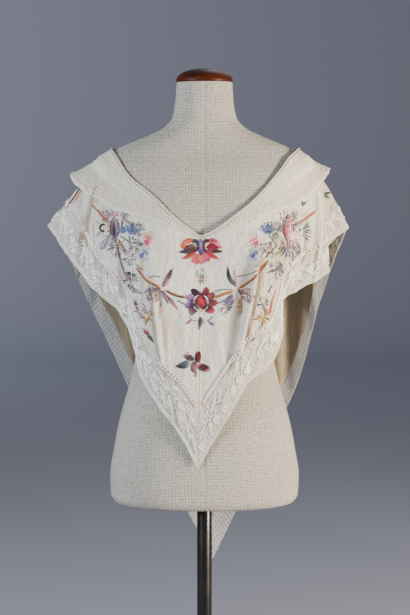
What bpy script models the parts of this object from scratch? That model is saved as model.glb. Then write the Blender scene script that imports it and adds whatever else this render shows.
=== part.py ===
"""Canezou, a pointed shoulder cape of embroidered muslin, worn on a limbless dress form with a plain stand.

Metres, +Z up. The stand rests on z = 0, the pole is the Z axis and the front faces -Y.
The cape is one ring of cloth round the shoulders. Each section of the ring runs from the neckline over
a crest, where the cloth turns down, to the hem. The cloth follows these sections and is kept clear of the
form. Its pieces are cut from this one surface, with a narrow gap at each seam.
Left and right are those of a person who looks at the front: left is -X.
"""

import math
from collections import namedtuple

import bmesh
import bpy
import numpy as np
from mathutils import Vector
from mathutils.bvhtree import BVHTree

# Stand and dress form
FORM_BOTTOM = 0.420
NECK_TOP = 1.160
CAP_RADIUS = 0.0495
CAP_RISE = 0.024
CAP_LIP = 0.003
CAP_FOOT_RADIUS = 0.0488
CAP_FULLNESS = 0.8
CAP_ARC_PARTS = 7
POLE_RADIUS = 0.0132
FERRULE_RADIUS = 0.0150
FERRULE_LENGTH = 0.010
BASE_RADIUS = 0.170
BASE_THICKNESS = 0.010
HUB_RADIUS = 0.030
HUB_HEIGHT = 0.034
EDGE_ROUNDING = 0.004
BASE_STEPS = 48
HUB_STEPS = 24
POLE_STEPS = 20
CAP_STEPS = 28
CLEARANCE = 0.0003
FORM_SIDES = 40
FORM_RINGS = 36
FORM_SQUARENESS = 2.25
BUST_RISE = 0.020
BUST_HALF_SPACING = 0.078
BUST_HEIGHT = 0.862
BUST_SPREAD_X = 0.052
BUST_SPREAD_Z = 0.062
GUIDE_SIDES = 96
GUIDE_RINGS = 90

# Cloth
WALL = 0.0012
FORM_GAP = 0.0013
CONTACT_SOFTNESS = 0.0022
LAYER_GAP = 0.0009
SEAM_GAP = 0.0004
SEAM_TURN = 0.007
INSERTION_WIDTH = 0.008
CENTRE_INSERTION_TURN = 0.13
BINDING_RADIUS = 0.0016
CLOTH_START = 0.0024
COLLAR_STANDOFF_POWER = 1.45
FOLD_END_SHARE = 0.12
FOLD_END_POWER = 0.5
NORMAL_TURN = 0.04

# Sections are counted round the ring from the centre front over the left shoulder to the back
SECTIONS = 28
COLUMNS_PER_SECTION = 3
STEPS_ALONG = 48
BACK_CENTRE = 13
LEFT_SHOULDER_SEAM = 8.2
RIGHT_SHOULDER_SEAM = 19.5
LEFT_BORDER_END = 9.667
RIGHT_BORDER_END = 16.667
COLLAR_ROWS = 4
PANEL_ROWS = 9
BACK_PANEL_ROWS = 13
BACK_ROW_CROWDING = 1.4
INSERTION_ROWS = 1
BORDER_ROWS = 4
NET_ROWS = 3
BINDING_RESOLUTION = 1
SPARE_TURN = 0.3
CENTRE_SEAM_START = CENTRE_INSERTION_TURN + SEAM_TURN
CENTRE_SEAM_ENDS = (CENTRE_SEAM_START, SECTIONS - CENTRE_SEAM_START)
SMOOTHING_ANGLE = 50

FormRing = namedtuple("FormRing", "height half_width front back")
FORM_RING_TABLE = (
    FormRing(0.420, 0.146, 0.092, 0.084),
    FormRing(0.424, 0.158, 0.102, 0.094),
    FormRing(0.436, 0.1655, 0.109, 0.101),
    FormRing(0.470, 0.1670, 0.112, 0.105),
    FormRing(0.512, 0.1610, 0.112, 0.104),
    FormRing(0.560, 0.1520, 0.108, 0.097),
    FormRing(0.600, 0.1415, 0.102, 0.088),
    FormRing(0.640, 0.1300, 0.097, 0.080),
    FormRing(0.698, 0.1200, 0.093, 0.073),
    FormRing(0.745, 0.1240, 0.096, 0.076),
    FormRing(0.800, 0.1380, 0.103, 0.086),
    FormRing(0.860, 0.1520, 0.107, 0.097),
    FormRing(0.915, 0.1620, 0.106, 0.104),
    FormRing(0.955, 0.1740, 0.100, 0.105),
    FormRing(0.985, 0.1820, 0.091, 0.101),
    FormRing(1.008, 0.1840, 0.081, 0.093),
    FormRing(1.024, 0.1780, 0.072, 0.084),
    FormRing(1.035, 0.1680, 0.066, 0.077),
    FormRing(1.045, 0.1520, 0.062, 0.071),
    FormRing(1.056, 0.1270, 0.058, 0.066),
    FormRing(1.068, 0.0980, 0.055, 0.061),
    FormRing(1.081, 0.0720, 0.053, 0.056),
    FormRing(1.097, 0.0570, 0.051, 0.053),
    FormRing(1.121, 0.0515, 0.0495, 0.0500),
    FormRing(1.160, 0.0485, 0.0480, 0.0480),
)


def steady_curve(known_at, known, at):
    """Values at the given places on a cubic through the known ones that never swings past them."""
    known_at, known, at = (np.asarray(v, float) for v in (known_at, known, at))
    gaps = np.diff(known_at)
    slopes = np.diff(known) / gaps
    same_way = slopes[:-1] * slopes[1:] > 0
    safe = np.where(same_way, slopes[:-1] + slopes[1:], 1.0)
    inner = np.where(same_way, 2 * slopes[:-1] * slopes[1:] / safe, 0.0)
    tangents = np.concatenate([slopes[:1], inner, slopes[-1:]])
    place = np.clip(np.searchsorted(known_at, at) - 1, 0, len(gaps) - 1)
    t = np.clip((at - known_at[place]) / gaps[place], 0, 1)
    return (
        (2 * t**3 - 3 * t**2 + 1) * known[place]
        + (t**3 - 2 * t**2 + t) * gaps[place] * tangents[place]
        + (3 * t**2 - 2 * t**3) * known[place + 1]
        + (t**3 - t**2) * gaps[place] * tangents[place + 1]
    )


def form_ring(height):
    """(half width, front depth, back depth) of the dress form at a height."""
    heights = [ring.height for ring in FORM_RING_TABLE]
    return [
        float(steady_curve(heights, [getattr(ring, column) for ring in FORM_RING_TABLE], [height])[0])
        for column in ("half_width", "front", "back")
    ]


def form_point(height, angle):
    """A point of the form's skin. Angle 0 is at +X and a quarter turn on is the back."""
    half_width, front, back = form_ring(height)
    cosine, sine = math.cos(angle), math.sin(angle)
    power = 2 / FORM_SQUARENESS
    x = half_width * math.copysign(abs(cosine) ** power, cosine)
    y = (back if sine > 0 else -front) * abs(sine) ** power
    if sine < 0:
        across = (abs(x) - BUST_HALF_SPACING) / BUST_SPREAD_X
        up = (height - BUST_HEIGHT) / BUST_SPREAD_Z
        y -= BUST_RISE * abs(sine) ** power * math.exp(-across**2 - up**2)
    return Vector((x, y, height))


RimPoint = namedtuple("RimPoint", "section x y z")
NECKLINE_TABLE = (
    RimPoint(0, -0.005, -0.113, 0.896),
    RimPoint(1, -0.031, -0.112, 0.911),
    RimPoint(2, -0.057, -0.106, 0.932),
    RimPoint(3, -0.081, -0.095, 0.957),
    RimPoint(4, -0.101, -0.084, 0.974),
    RimPoint(5, -0.121, -0.074, 0.989),
    RimPoint(6, -0.135, -0.064, 1.004),
    RimPoint(7, -0.149, -0.048, 1.025),
    RimPoint(8, -0.160, -0.016, 1.042),
    RimPoint(9, -0.153, 0.032, 1.040),
    RimPoint(10, -0.124, 0.070, 1.026),
    RimPoint(11, -0.087, 0.094, 1.008),
    RimPoint(13, 0.000, 0.106, 0.996),
    RimPoint(15, 0.087, 0.094, 1.008),
    RimPoint(16, 0.124, 0.070, 1.026),
    RimPoint(17, 0.151, 0.040, 1.039),
    RimPoint(18, 0.162, 0.016, 1.043),
    RimPoint(19, 0.163, -0.004, 1.043),
    RimPoint(20, 0.157, -0.026, 1.038),
    RimPoint(21, 0.144, -0.049, 1.027),
    RimPoint(22, 0.130, -0.064, 1.008),
    RimPoint(23, 0.112, -0.077, 0.986),
    RimPoint(24, 0.094, -0.088, 0.966),
    RimPoint(25, 0.073, -0.098, 0.946),
    RimPoint(26, 0.050, -0.106, 0.928),
    RimPoint(27, 0.024, -0.111, 0.909),
)
CREST_TABLE = (
    RimPoint(0, -0.008, -0.1290, 0.800),
    RimPoint(1, -0.038, -0.1310, 0.800),
    RimPoint(2, -0.068, -0.1310, 0.805),
    RimPoint(3, -0.095, -0.1240, 0.825),
    RimPoint(4, -0.116, -0.1100, 0.855),
    RimPoint(5, -0.137, -0.0950, 0.885),
    RimPoint(6, -0.165, -0.0750, 0.915),
    RimPoint(7, -0.195, -0.0450, 0.945),
    RimPoint(8, -0.222, 0.0020, 0.973),
    RimPoint(9, -0.205, 0.0550, 0.955),
    RimPoint(10, -0.175, 0.0900, 0.920),
    RimPoint(11, -0.130, 0.1120, 0.870),
    RimPoint(13, 0.002, 0.1180, 0.760),
    RimPoint(15, 0.130, 0.1120, 0.870),
    RimPoint(16, 0.175, 0.0900, 0.915),
    RimPoint(17, 0.200, 0.0580, 0.950),
    RimPoint(18, 0.217, 0.0220, 0.975),
    RimPoint(19, 0.207, 0.0040, 0.965),
    RimPoint(20, 0.206, -0.0180, 0.952),
    RimPoint(21, 0.188, -0.0420, 0.930),
    RimPoint(22, 0.160, -0.0700, 0.905),
    RimPoint(23, 0.135, -0.0920, 0.880),
    RimPoint(24, 0.117, -0.1070, 0.855),
    RimPoint(25, 0.097, -0.1220, 0.825),
    RimPoint(26, 0.068, -0.1300, 0.805),
    RimPoint(27, 0.032, -0.1305, 0.800),
)
HEM_TABLE = (
    RimPoint(0, -0.011, -0.116, 0.499),
    RimPoint(1, -0.043, -0.117, 0.558),
    RimPoint(2, -0.077, -0.113, 0.604),
    RimPoint(3, -0.109, -0.100, 0.659),
    RimPoint(4, -0.121, -0.088, 0.710),
    RimPoint(5, -0.141, -0.078, 0.757),
    RimPoint(6, -0.188, -0.055, 0.799),
    RimPoint(7, -0.230, -0.020, 0.847),
    RimPoint(8, -0.276, 0.025, 0.909),
    RimPoint(9, -0.246, 0.058, 0.856),
    RimPoint(10, -0.215, 0.074, 0.784),
    RimPoint(11, -0.165, 0.088, 0.675),
    RimPoint(12, -0.090, 0.108, 0.500),
    RimPoint(13, 0.015, 0.118, 0.291),
    RimPoint(14, 0.100, 0.110, 0.470),
    RimPoint(15, 0.172, 0.094, 0.630),
    RimPoint(16, 0.205, 0.080, 0.757),
    RimPoint(17, 0.233, 0.062, 0.847),
    RimPoint(18, 0.255, 0.032, 0.905),
    RimPoint(19, 0.211, 0.010, 0.862),
    RimPoint(20, 0.217, -0.015, 0.832),
    RimPoint(21, 0.188, -0.038, 0.812),
    RimPoint(22, 0.159, -0.055, 0.799),
    RimPoint(23, 0.129, -0.075, 0.777),
    RimPoint(24, 0.134, -0.079, 0.731),
    RimPoint(25, 0.118, -0.088, 0.682),
    RimPoint(26, 0.075, -0.108, 0.645),
    RimPoint(27, 0.040, -0.117, 0.585),
)
HEM_CORNERS = (0, BACK_CENTRE)

# Widths are measured along a section, from the neckline for the collar and from the hem for the edging
TrimWidth = namedtuple("TrimWidth", "section collar standoff edging")
TRIM_TABLE = (
    TrimWidth(0, 0.006, 0.0000, 0.095),
    TrimWidth(1, 0.010, 0.0005, 0.085),
    TrimWidth(2, 0.022, 0.0015, 0.073),
    TrimWidth(3, 0.038, 0.0020, 0.064),
    TrimWidth(4, 0.049, 0.0025, 0.058),
    TrimWidth(5, 0.058, 0.0030, 0.056),
    TrimWidth(6, 0.067, 0.0050, 0.055),
    TrimWidth(7, 0.075, 0.0120, 0.055),
    TrimWidth(8, 0.082, 0.0260, 0.055),
    TrimWidth(9, 0.077, 0.0200, 0.048),
    TrimWidth(10, 0.070, 0.0110, 0.036),
    TrimWidth(11, 0.064, 0.0070, 0.042),
    TrimWidth(12, 0.062, 0.0060, 0.055),
    TrimWidth(13, 0.062, 0.0060, 0.078),
    TrimWidth(14, 0.062, 0.0060, 0.055),
    TrimWidth(15, 0.064, 0.0070, 0.042),
    TrimWidth(16, 0.066, 0.0110, 0.036),
    TrimWidth(17, 0.064, 0.0180, 0.048),
    TrimWidth(18, 0.063, 0.0220, 0.055),
    TrimWidth(19, 0.064, 0.0200, 0.055),
    TrimWidth(20, 0.070, 0.0120, 0.055),
    TrimWidth(21, 0.072, 0.0060, 0.055),
    TrimWidth(22, 0.066, 0.0040, 0.055),
    TrimWidth(23, 0.052, 0.0030, 0.056),
    TrimWidth(24, 0.038, 0.0025, 0.058),
    TrimWidth(25, 0.026, 0.0020, 0.064),
    TrimWidth(26, 0.016, 0.0010, 0.073),
    TrimWidth(27, 0.008, 0.0005, 0.085),
)

# A fold runs straight from its top to its foot, each given as a section and a fraction along it.
# A trough has a rise below 0.
Fold = namedtuple("Fold", "top_section top_along foot_section foot_along rise half_width")
FOLD_TABLE = (
    Fold(24.9, 0.34, 26.3, 0.76, 0.0060, 0.0115),
    Fold(25.4, 0.30, 26.9, 0.70, -0.0020, 0.0120),
    Fold(2.5, 0.52, 2.0, 0.78, 0.0040, 0.0110),
    Fold(7.6, 0.50, 6.7, 0.88, -0.0060, 0.0120),
    Fold(6.7, 0.42, 5.2, 0.84, 0.0035, 0.0110),
    Fold(21.4, 0.46, 21.8, 0.92, -0.0050, 0.0110),
    Fold(22.4, 0.44, 23.2, 0.86, 0.0040, 0.0120),
    Fold(9.6, 0.34, 10.4, 0.92, 0.0070, 0.0140),
    Fold(10.6, 0.36, 11.5, 0.90, -0.0060, 0.0150),
    Fold(11.6, 0.34, 12.4, 0.86, 0.0060, 0.0150),
    Fold(13.4, 0.44, 13.2, 0.90, 0.0060, 0.0160),
    Fold(14.7, 0.36, 13.9, 0.84, -0.0060, 0.0140),
    Fold(15.5, 0.36, 14.7, 0.92, 0.0080, 0.0130),
    Fold(16.5, 0.36, 15.9, 0.94, -0.0070, 0.0110),
)

MATERIAL_TABLE = {
    "linen": ((0.52, 0.48, 0.40), 0.90, 0.0),
    "mahogany": ((0.16, 0.045, 0.016), 0.30, 0.0),
    "black_metal": ((0.02, 0.02, 0.02), 0.32, 0.6),
    "muslin": ((0.78, 0.74, 0.66), 0.70, 0.0),
    "whitework": ((0.84, 0.82, 0.76), 0.55, 0.0),
    "collar_cotton": ((0.80, 0.75, 0.65), 0.80, 0.0),
    "net": ((0.70, 0.67, 0.61), 0.85, 0.0),
    "openwork": ((0.74, 0.70, 0.62), 0.80, 0.0),
}


def empty_the_scene():
    """Takes every object out of the scene."""
    for existing in list(bpy.data.objects):
        bpy.data.objects.remove(existing, do_unlink=True)


def model_collection(name):
    """The collection that holds the model."""
    collection = bpy.data.collections.new(name)
    bpy.context.scene.collection.children.link(collection)
    return collection


def finish_material(name):
    """A plain material of the table, made once."""
    known = bpy.data.materials.get(name)
    if known:
        return known
    colour, roughness, metallic = MATERIAL_TABLE[name]
    material = bpy.data.materials.new(name)
    material.use_nodes = True
    shader = material.node_tree.nodes["Principled BSDF"]
    shader.inputs["Base Color"].default_value = (*colour, 1)
    shader.inputs["Roughness"].default_value = roughness
    shader.inputs["Metallic"].default_value = metallic
    return material


def add_object(collection, name, data, material):
    """An object of the model, with its material, in the collection."""
    data.materials.append(finish_material(material))
    new_object = bpy.data.objects.new(name, data)
    collection.objects.link(new_object)
    return new_object


def form_rings(rings, sides):
    """Rings of points up the dress form, closer together where its outline turns quickly."""
    heights = [ring.height for ring in FORM_RING_TABLE]
    places = np.linspace(0, len(heights) - 1, rings)
    levels = np.interp(places, range(len(heights)), heights)
    return [
        [form_point(level, 2 * math.pi * side / sides) for side in range(sides)]
        for level in levels
    ]


def form_mesh(name, rings, sides):
    """The closed skin of the dress form, lofted through its rings."""
    shape = bmesh.new()
    loops = [[shape.verts.new(point) for point in ring] for ring in form_rings(rings, sides)]
    for lower, upper in zip(loops, loops[1:]):
        for side in range(sides):
            after = (side + 1) % sides
            shape.faces.new((lower[side], lower[after], upper[after], upper[side]))
    shape.faces.new(list(reversed(loops[0])))
    shape.faces.new(loops[-1])
    mesh = bpy.data.meshes.new(name)
    shape.to_mesh(mesh)
    shape.free()
    mesh.shade_smooth()
    return mesh


def form_guide():
    """A fine tree of the form's skin, which the cloth is kept clear of."""
    shape = bmesh.new()
    guide_mesh = form_mesh("form_guide", GUIDE_RINGS, GUIDE_SIDES)
    shape.from_mesh(guide_mesh)
    tree = BVHTree.FromBMesh(shape)
    shape.free()
    bpy.data.meshes.remove(guide_mesh)
    return tree


def ring_values(rows, columns, at, corners=()):
    """Columns of a table of ring sections at the given places round the ring, sharp at the corners."""
    at = np.mod(np.asarray(at, float), SECTIONS)
    places = np.array([row.section for row in rows], float)
    values = np.array([[getattr(row, column) for column in columns] for row in rows])
    places = np.concatenate([places - SECTIONS, places, places + SECTIONS])
    values = np.concatenate([values, values, values])
    ends = [*corners, SECTIONS] if corners else [-SECTIONS, 2 * SECTIONS]
    found = np.zeros((len(at), len(columns)))
    for start, end in zip(ends, ends[1:]):
        known = (places >= start) & (places <= end)
        asked = (at >= start) & (at <= end)
        for column in range(len(columns)):
            found[asked, column] = steady_curve(places[known], values[known, column], at[asked])
    return found


def smooth_most(first, second, softness):
    """The larger of two numbers, with the corner between them rounded."""
    return 0.5 * (first + second + math.sqrt((first - second) ** 2 + softness**2))


def clear_of_form(points, guide):
    """The points, with those near or inside the form moved out until they just clear its skin."""
    moved = np.array(points, float)
    for index, point in enumerate(moved):
        nearest, normal, _, _ = guide.find_nearest(Vector(point))
        height = (Vector(point) - nearest).dot(normal)
        if height < FORM_GAP + 2 * CONTACT_SOFTNESS:
            out = smooth_most(height, FORM_GAP, CONTACT_SOFTNESS) - height
            moved[index] = point + np.array(normal) * out
    return moved


def section_curves(at):
    """Curves from the neckline over the crest to the hem, one for each place round the ring."""
    axes = ("x", "y", "z")
    neck = ring_values(NECKLINE_TABLE, axes, at)
    crest = ring_values(CREST_TABLE, axes, at)
    hem = ring_values(HEM_TABLE, axes, at, HEM_CORNERS)
    steps = np.linspace(0, 1, STEPS_ALONG + 1)
    curves = np.zeros((len(at), STEPS_ALONG + 1, 3))
    for index, (top, middle, foot) in enumerate(zip(neck, crest, hem)):
        upper = np.linalg.norm(middle - top)
        share = upper / (upper + np.linalg.norm(foot - middle))
        for axis in range(3):
            known = (top[axis], middle[axis], foot[axis])
            curves[index, :, axis] = steady_curve((0, share, 1), known, steps)
    return curves


def draped(at, guide):
    """Section curves laid over the form."""
    curves = section_curves(at)
    return clear_of_form(curves.reshape(-1, 3), guide).reshape(curves.shape)


def outward(points, ahead, behind):
    """Unit normals of the cloth that point away from the form, from neighbouring sections."""
    across = ahead - behind
    down = np.gradient(points, axis=1)
    normals = np.cross(across, down)
    return normals / np.linalg.norm(normals, axis=2, keepdims=True)


def fold_rise(points, guide):
    """How far the folds lift each point of the cloth off its smooth shape."""
    rise = np.zeros(points.shape[:2])
    for fold in FOLD_TABLE:
        ends = draped([fold.top_section, fold.foot_section], guide)
        top = ends[0, round(fold.top_along * STEPS_ALONG)]
        foot = ends[1, round(fold.foot_along * STEPS_ALONG)]
        run = foot - top
        along = np.clip(((points - top) @ run) / (run @ run), 0, 1)
        distance = np.linalg.norm(points - top - along[..., None] * run, axis=2)
        taper = np.sin(math.pi * (FOLD_END_SHARE + (1 - 2 * FOLD_END_SHARE) * along)) ** FOLD_END_POWER
        rise += fold.rise * taper * np.exp(-((distance / fold.half_width) ** 2))
    return rise


class Cape:
    """The cape's surface: points, outward normals and distances from the neckline, a row for each column."""

    def __init__(self, at, guide):
        self.at = np.asarray(at, float)
        smooth = draped(self.at, guide)
        ahead, behind = draped(self.at + NORMAL_TURN, guide), draped(self.at - NORMAL_TURN, guide)
        normals = outward(smooth, ahead, behind)
        folded = smooth + normals * fold_rise(smooth, guide)[..., None]
        ahead = ahead + normals * fold_rise(ahead, guide)[..., None]
        behind = behind + normals * fold_rise(behind, guide)[..., None]
        shape = folded.shape
        self.points = clear_of_form(folded.reshape(-1, 3), guide).reshape(shape)
        self.normals = outward(self.points, ahead, behind)
        lengths = np.linalg.norm(np.diff(self.points, axis=1), axis=2)
        start = np.zeros((len(lengths), 1))
        self.distances = np.concatenate([start, np.cumsum(lengths, axis=1)], axis=1)
        self.length = self.distances[:, -1]
        trims = ring_values(TRIM_TABLE, ("collar", "standoff", "edging"), self.at)
        self.collar, self.standoff, self.edging = trims.T

    def place(self, column, distance, height):
        """A point at a distance down one column and a height off the cloth's inner side."""
        known = self.distances[column]
        point = [np.interp(distance, known, self.points[column, :, axis]) for axis in range(3)]
        normal = [np.interp(distance, known, self.normals[column, :, axis]) for axis in range(3)]
        return Vector(point) + Vector(normal).normalized() * height


def columns_between(start, end):
    """Places round the ring for a piece: its ends, the shared columns and any seam's end between them."""
    first = math.floor(start * COLUMNS_PER_SECTION) + 1
    last = math.ceil(end * COLUMNS_PER_SECTION) - 1
    inner = [index / COLUMNS_PER_SECTION for index in range(first, last + 1)]
    spare = SPARE_TURN / COLUMNS_PER_SECTION
    kept = [at for at in inner if at - start > spare and end - at > spare]
    met = [at for at in CENTRE_SEAM_ENDS if start < at < end]
    return sorted({start, *kept, *met, end})


def even_rows(rows):
    """Fractions from 0 to 1 for the rows of a strip."""
    return [row / rows for row in range(rows + 1)]


def cloth_piece(collection, name, cape, rows, material):
    """A closed cloth wall through each column's (distance, height) rows.

    Both sides are lofted along the cape's own normals, so that walls which meet at a seam match there.
    """
    shape = bmesh.new()
    inner, outer = (
        [
            [shape.verts.new(cape.place(column, distance, height + side)) for distance, height in places]
            for column, places in enumerate(rows)
        ]
        for side in (0, WALL)
    )
    last = len(rows[0]) - 1
    for column in range(len(rows) - 1):
        after = column + 1
        for row in range(last):
            below = row + 1
            shape.faces.new((inner[column][row], inner[column][below], inner[after][below], inner[after][row]))
            shape.faces.new((outer[column][row], outer[after][row], outer[after][below], outer[column][below]))
        shape.faces.new((inner[column][0], inner[after][0], outer[after][0], outer[column][0]))
        shape.faces.new((inner[after][last], inner[column][last], outer[column][last], outer[after][last]))
    for row in range(last):
        below = row + 1
        shape.faces.new((inner[0][below], inner[0][row], outer[0][row], outer[0][below]))
        shape.faces.new((inner[-1][row], inner[-1][below], outer[-1][below], outer[-1][row]))
    mesh = bpy.data.meshes.new(name)
    shape.to_mesh(mesh)
    shape.free()
    mesh.shade_smooth()
    mesh.set_sharp_from_angle(angle=math.radians(SMOOTHING_ANGLE))
    add_object(collection, name, mesh, material)


def turned_piece(collection, name, profile, steps, material):
    """A closed turned piece from (radius, height) points listed down its outer side."""
    shape = bmesh.new()
    verts = [shape.verts.new((radius, 0, height)) for radius, height in profile]
    for first, second in zip(verts, verts[1:]):
        shape.edges.new((first, second))
    mesh = bpy.data.meshes.new(name)
    shape.to_mesh(mesh)
    shape.free()
    piece = add_object(collection, name, mesh, material)
    screw = piece.modifiers.new("turn", "SCREW")
    screw.steps = steps
    screw.render_steps = steps
    screw.use_merge_vertices = True
    screw.merge_threshold = 0.0001
    return piece


def disc_profile(radius, low, high):
    """Profile of a disc with square rims."""
    return [(0, high), (radius, high), (radius, low), (0, low)]


def rounded_profile(radius, low, high, rounding=EDGE_ROUNDING, parts=3):
    """Profile of a disc whose upper rim is rounded."""
    arc = [
        (radius - rounding + rounding * math.sin(turn), high - rounding + rounding * math.cos(turn))
        for turn in (math.pi / 2 * part / parts for part in range(parts + 1))
    ]
    return [(0, high), *arc, (radius, low), (0, low)]


def build_stand(collection):
    """Base, hub, pole and ferrule under the form, each resting on the one below."""
    hub_bottom = BASE_THICKNESS + CLEARANCE
    hub_top = hub_bottom + HUB_HEIGHT
    ferrule_top = FORM_BOTTOM - CLEARANCE
    ferrule_bottom = ferrule_top - FERRULE_LENGTH
    base = rounded_profile(BASE_RADIUS, 0, BASE_THICKNESS)
    hub = rounded_profile(HUB_RADIUS, hub_bottom, hub_top)
    pole = disc_profile(POLE_RADIUS, hub_top + CLEARANCE, ferrule_bottom - CLEARANCE)
    ferrule = disc_profile(FERRULE_RADIUS, ferrule_bottom, ferrule_top)
    turned_piece(collection, "stand_base", base, BASE_STEPS, "black_metal")
    turned_piece(collection, "stand_hub", hub, HUB_STEPS, "black_metal")
    turned_piece(collection, "pole", pole, POLE_STEPS, "black_metal")
    turned_piece(collection, "pole_ferrule", ferrule, POLE_STEPS, "black_metal")


def build_form(collection):
    """The linen torso and the turned cap on its neck."""
    torso = form_mesh("form_torso", FORM_RINGS, FORM_SIDES)
    add_object(collection, "form_torso", torso, "linen")
    foot = NECK_TOP + CLEARANCE
    dome = [
        (CAP_RADIUS * math.sin(turn) ** CAP_FULLNESS, foot + CAP_LIP + (CAP_RISE - CAP_LIP) * math.cos(turn))
        for turn in (math.pi / 2 * part / CAP_ARC_PARTS for part in range(CAP_ARC_PARTS + 1))
    ]
    turned_piece(collection, "neck_cap", [*dome, (CAP_FOOT_RADIUS, foot), (0, foot)], CAP_STEPS, "mahogany")


def panel_rows(cape, column, foot, beyond):
    """Rows of a panel: those that its collar shares, then those from the collar's edge to the panel's foot."""
    edge = cape.collar[column]
    shared = [(distance, 0) for distance in collar_distances(cape, column)]
    return shared + [(edge + (foot - edge) * part, 0) for part in beyond]


def collar_distances(cape, column):
    """Distances of the collar's rows from the neckline."""
    return [CLOTH_START + (cape.collar[column] - CLOTH_START) * part for part in even_rows(COLLAR_ROWS)]


def collar_rows(cape, column):
    """Rows of the collar, which lies on its panel at the neckline and stands off it towards its edge."""
    return [
        (distance, WALL + LAYER_GAP + cape.standoff[column] * part**COLLAR_STANDOFF_POWER)
        for distance, part in zip(collar_distances(cape, column), even_rows(COLLAR_ROWS))
    ]


def strip_rows(top, foot, rows):
    """Evenly spaced rows of a flat strip."""
    return [(top + (foot - top) * part, 0) for part in even_rows(rows)]


def build_front(collection, guide, side, start, end):
    """One side's front panel, the collar on it, and the insertion and border beyond it."""
    cape = Cape(columns_between(start, end), guide)
    columns = range(len(cape.at))
    border_top = cape.length - cape.edging
    seam = border_top - INSERTION_WIDTH
    beyond = even_rows(PANEL_ROWS)[1:]
    panel = [panel_rows(cape, column, seam[column] - SEAM_GAP, beyond) for column in columns]
    collar = [collar_rows(cape, column) for column in columns]
    insertion = [strip_rows(seam[column], border_top[column] - SEAM_GAP, INSERTION_ROWS) for column in columns]
    cloth_piece(collection, f"front_panel_{side}", cape, panel, "muslin")
    cloth_piece(collection, f"collar_{side}", cape, collar, "collar_cotton")
    cloth_piece(collection, f"seam_insertion_{side}", cape, insertion, "openwork")


def build_edging(collection, guide, name, start, end, rows, material):
    """A stretch of the border or of the net along the hem."""
    cape = Cape(columns_between(start, end), guide)
    feet = cape.length
    strips = [strip_rows(foot - width, foot, rows) for foot, width in zip(feet, cape.edging)]
    cloth_piece(collection, name, cape, strips, material)


def build_centre_insertion(collection, guide):
    """The openwork strip down the middle of the front."""
    half = CENTRE_INSERTION_TURN - SEAM_TURN
    cape = Cape([-half, 0, half], guide)
    feet = cape.length - cape.edging - INSERTION_WIDTH - SEAM_GAP
    strips = [strip_rows(CLOTH_START, foot, 2 * PANEL_ROWS) for foot in feet]
    cloth_piece(collection, "centre_insertion", cape, strips, "openwork")


def build_back(collection, guide):
    """The back panel, which comes over the shoulders to their seams, and the collar on it."""
    cape = Cape(columns_between(LEFT_SHOULDER_SEAM + SEAM_TURN, RIGHT_SHOULDER_SEAM - SEAM_TURN), guide)
    columns = range(len(cape.at))
    feet = cape.length - cape.edging - SEAM_GAP
    beyond = [part**BACK_ROW_CROWDING for part in even_rows(BACK_PANEL_ROWS)[1:]]
    panel = [panel_rows(cape, column, feet[column], beyond) for column in columns]
    collar = [collar_rows(cape, column) for column in columns]
    cloth_piece(collection, "back_panel", cape, panel, "muslin")
    cloth_piece(collection, "collar_back", cape, collar, "collar_cotton")


def build_binding(collection, guide, side, start, end):
    """The rolled edge along a stretch of the neckline, a tube on the form."""
    at = columns_between(start, end)
    cape = Cape(at, guide)
    route = [cape.place(column, 0, BINDING_RADIUS) for column in range(len(at))]
    curve = bpy.data.curves.new(f"neck_binding_{side}", "CURVE")
    curve.dimensions = "3D"
    curve.bevel_depth = BINDING_RADIUS
    curve.bevel_resolution = BINDING_RESOLUTION
    curve.use_fill_caps = True
    spline = curve.splines.new("POLY")
    spline.points.add(len(route) - 1)
    for point, place in zip(spline.points, route):
        point.co = (*place, 1)
    add_object(collection, f"neck_binding_{side}", curve, "collar_cotton")


def main():
    """Builds the cape, its form and its stand."""
    empty_the_scene()
    collection = model_collection("canezou_on_dress_form")
    build_stand(collection)
    build_form(collection)
    guide = form_guide()
    left_front = (CENTRE_SEAM_ENDS[0], LEFT_SHOULDER_SEAM - SEAM_TURN)
    right_front = (RIGHT_SHOULDER_SEAM + SEAM_TURN, CENTRE_SEAM_ENDS[1])
    build_front(collection, guide, "left", *left_front)
    build_front(collection, guide, "right", *right_front)
    build_centre_insertion(collection, guide)
    borders = {
        "front_border_left": (SEAM_TURN, left_front[1]),
        "front_border_right": (right_front[0], SECTIONS - SEAM_TURN),
        "shoulder_border_left": (LEFT_SHOULDER_SEAM + SEAM_TURN, LEFT_BORDER_END - SEAM_TURN),
        "shoulder_border_right": (RIGHT_BORDER_END + SEAM_TURN, RIGHT_SHOULDER_SEAM - SEAM_TURN),
    }
    for name, ends in borders.items():
        build_edging(collection, guide, name, *ends, BORDER_ROWS, "whitework")
    nets = {
        "net_edging_left": (LEFT_BORDER_END + SEAM_TURN, BACK_CENTRE - SEAM_TURN),
        "net_edging_right": (BACK_CENTRE + SEAM_TURN, RIGHT_BORDER_END - SEAM_TURN),
    }
    for name, ends in nets.items():
        build_edging(collection, guide, name, *ends, NET_ROWS, "net")
    build_back(collection, guide)
    build_binding(collection, guide, "left", SEAM_TURN, LEFT_SHOULDER_SEAM - SEAM_TURN)
    build_binding(collection, guide, "back", LEFT_SHOULDER_SEAM + SEAM_TURN, RIGHT_SHOULDER_SEAM - SEAM_TURN)
    build_binding(collection, guide, "right", RIGHT_SHOULDER_SEAM + SEAM_TURN, SECTIONS - SEAM_TURN)


main()
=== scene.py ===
"""Visual model of a canezou, a pointed shoulder cape of embroidered muslin, worn on a linen dress form.

Metres, +Z up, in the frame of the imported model. The front faces -Y. Left is that of a person who looks at the
front, which is -X. The cape's surface is worked out from the same named rims as its solids, at a finer pitch,
and every thread, cord and bar of the needlework is laid on that surface.
"""

import logging
import math
import random
from collections.abc import Callable, Iterable, Sequence
from dataclasses import dataclass, field
from enum import Enum
from functools import partial
from typing import NamedTuple

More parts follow.
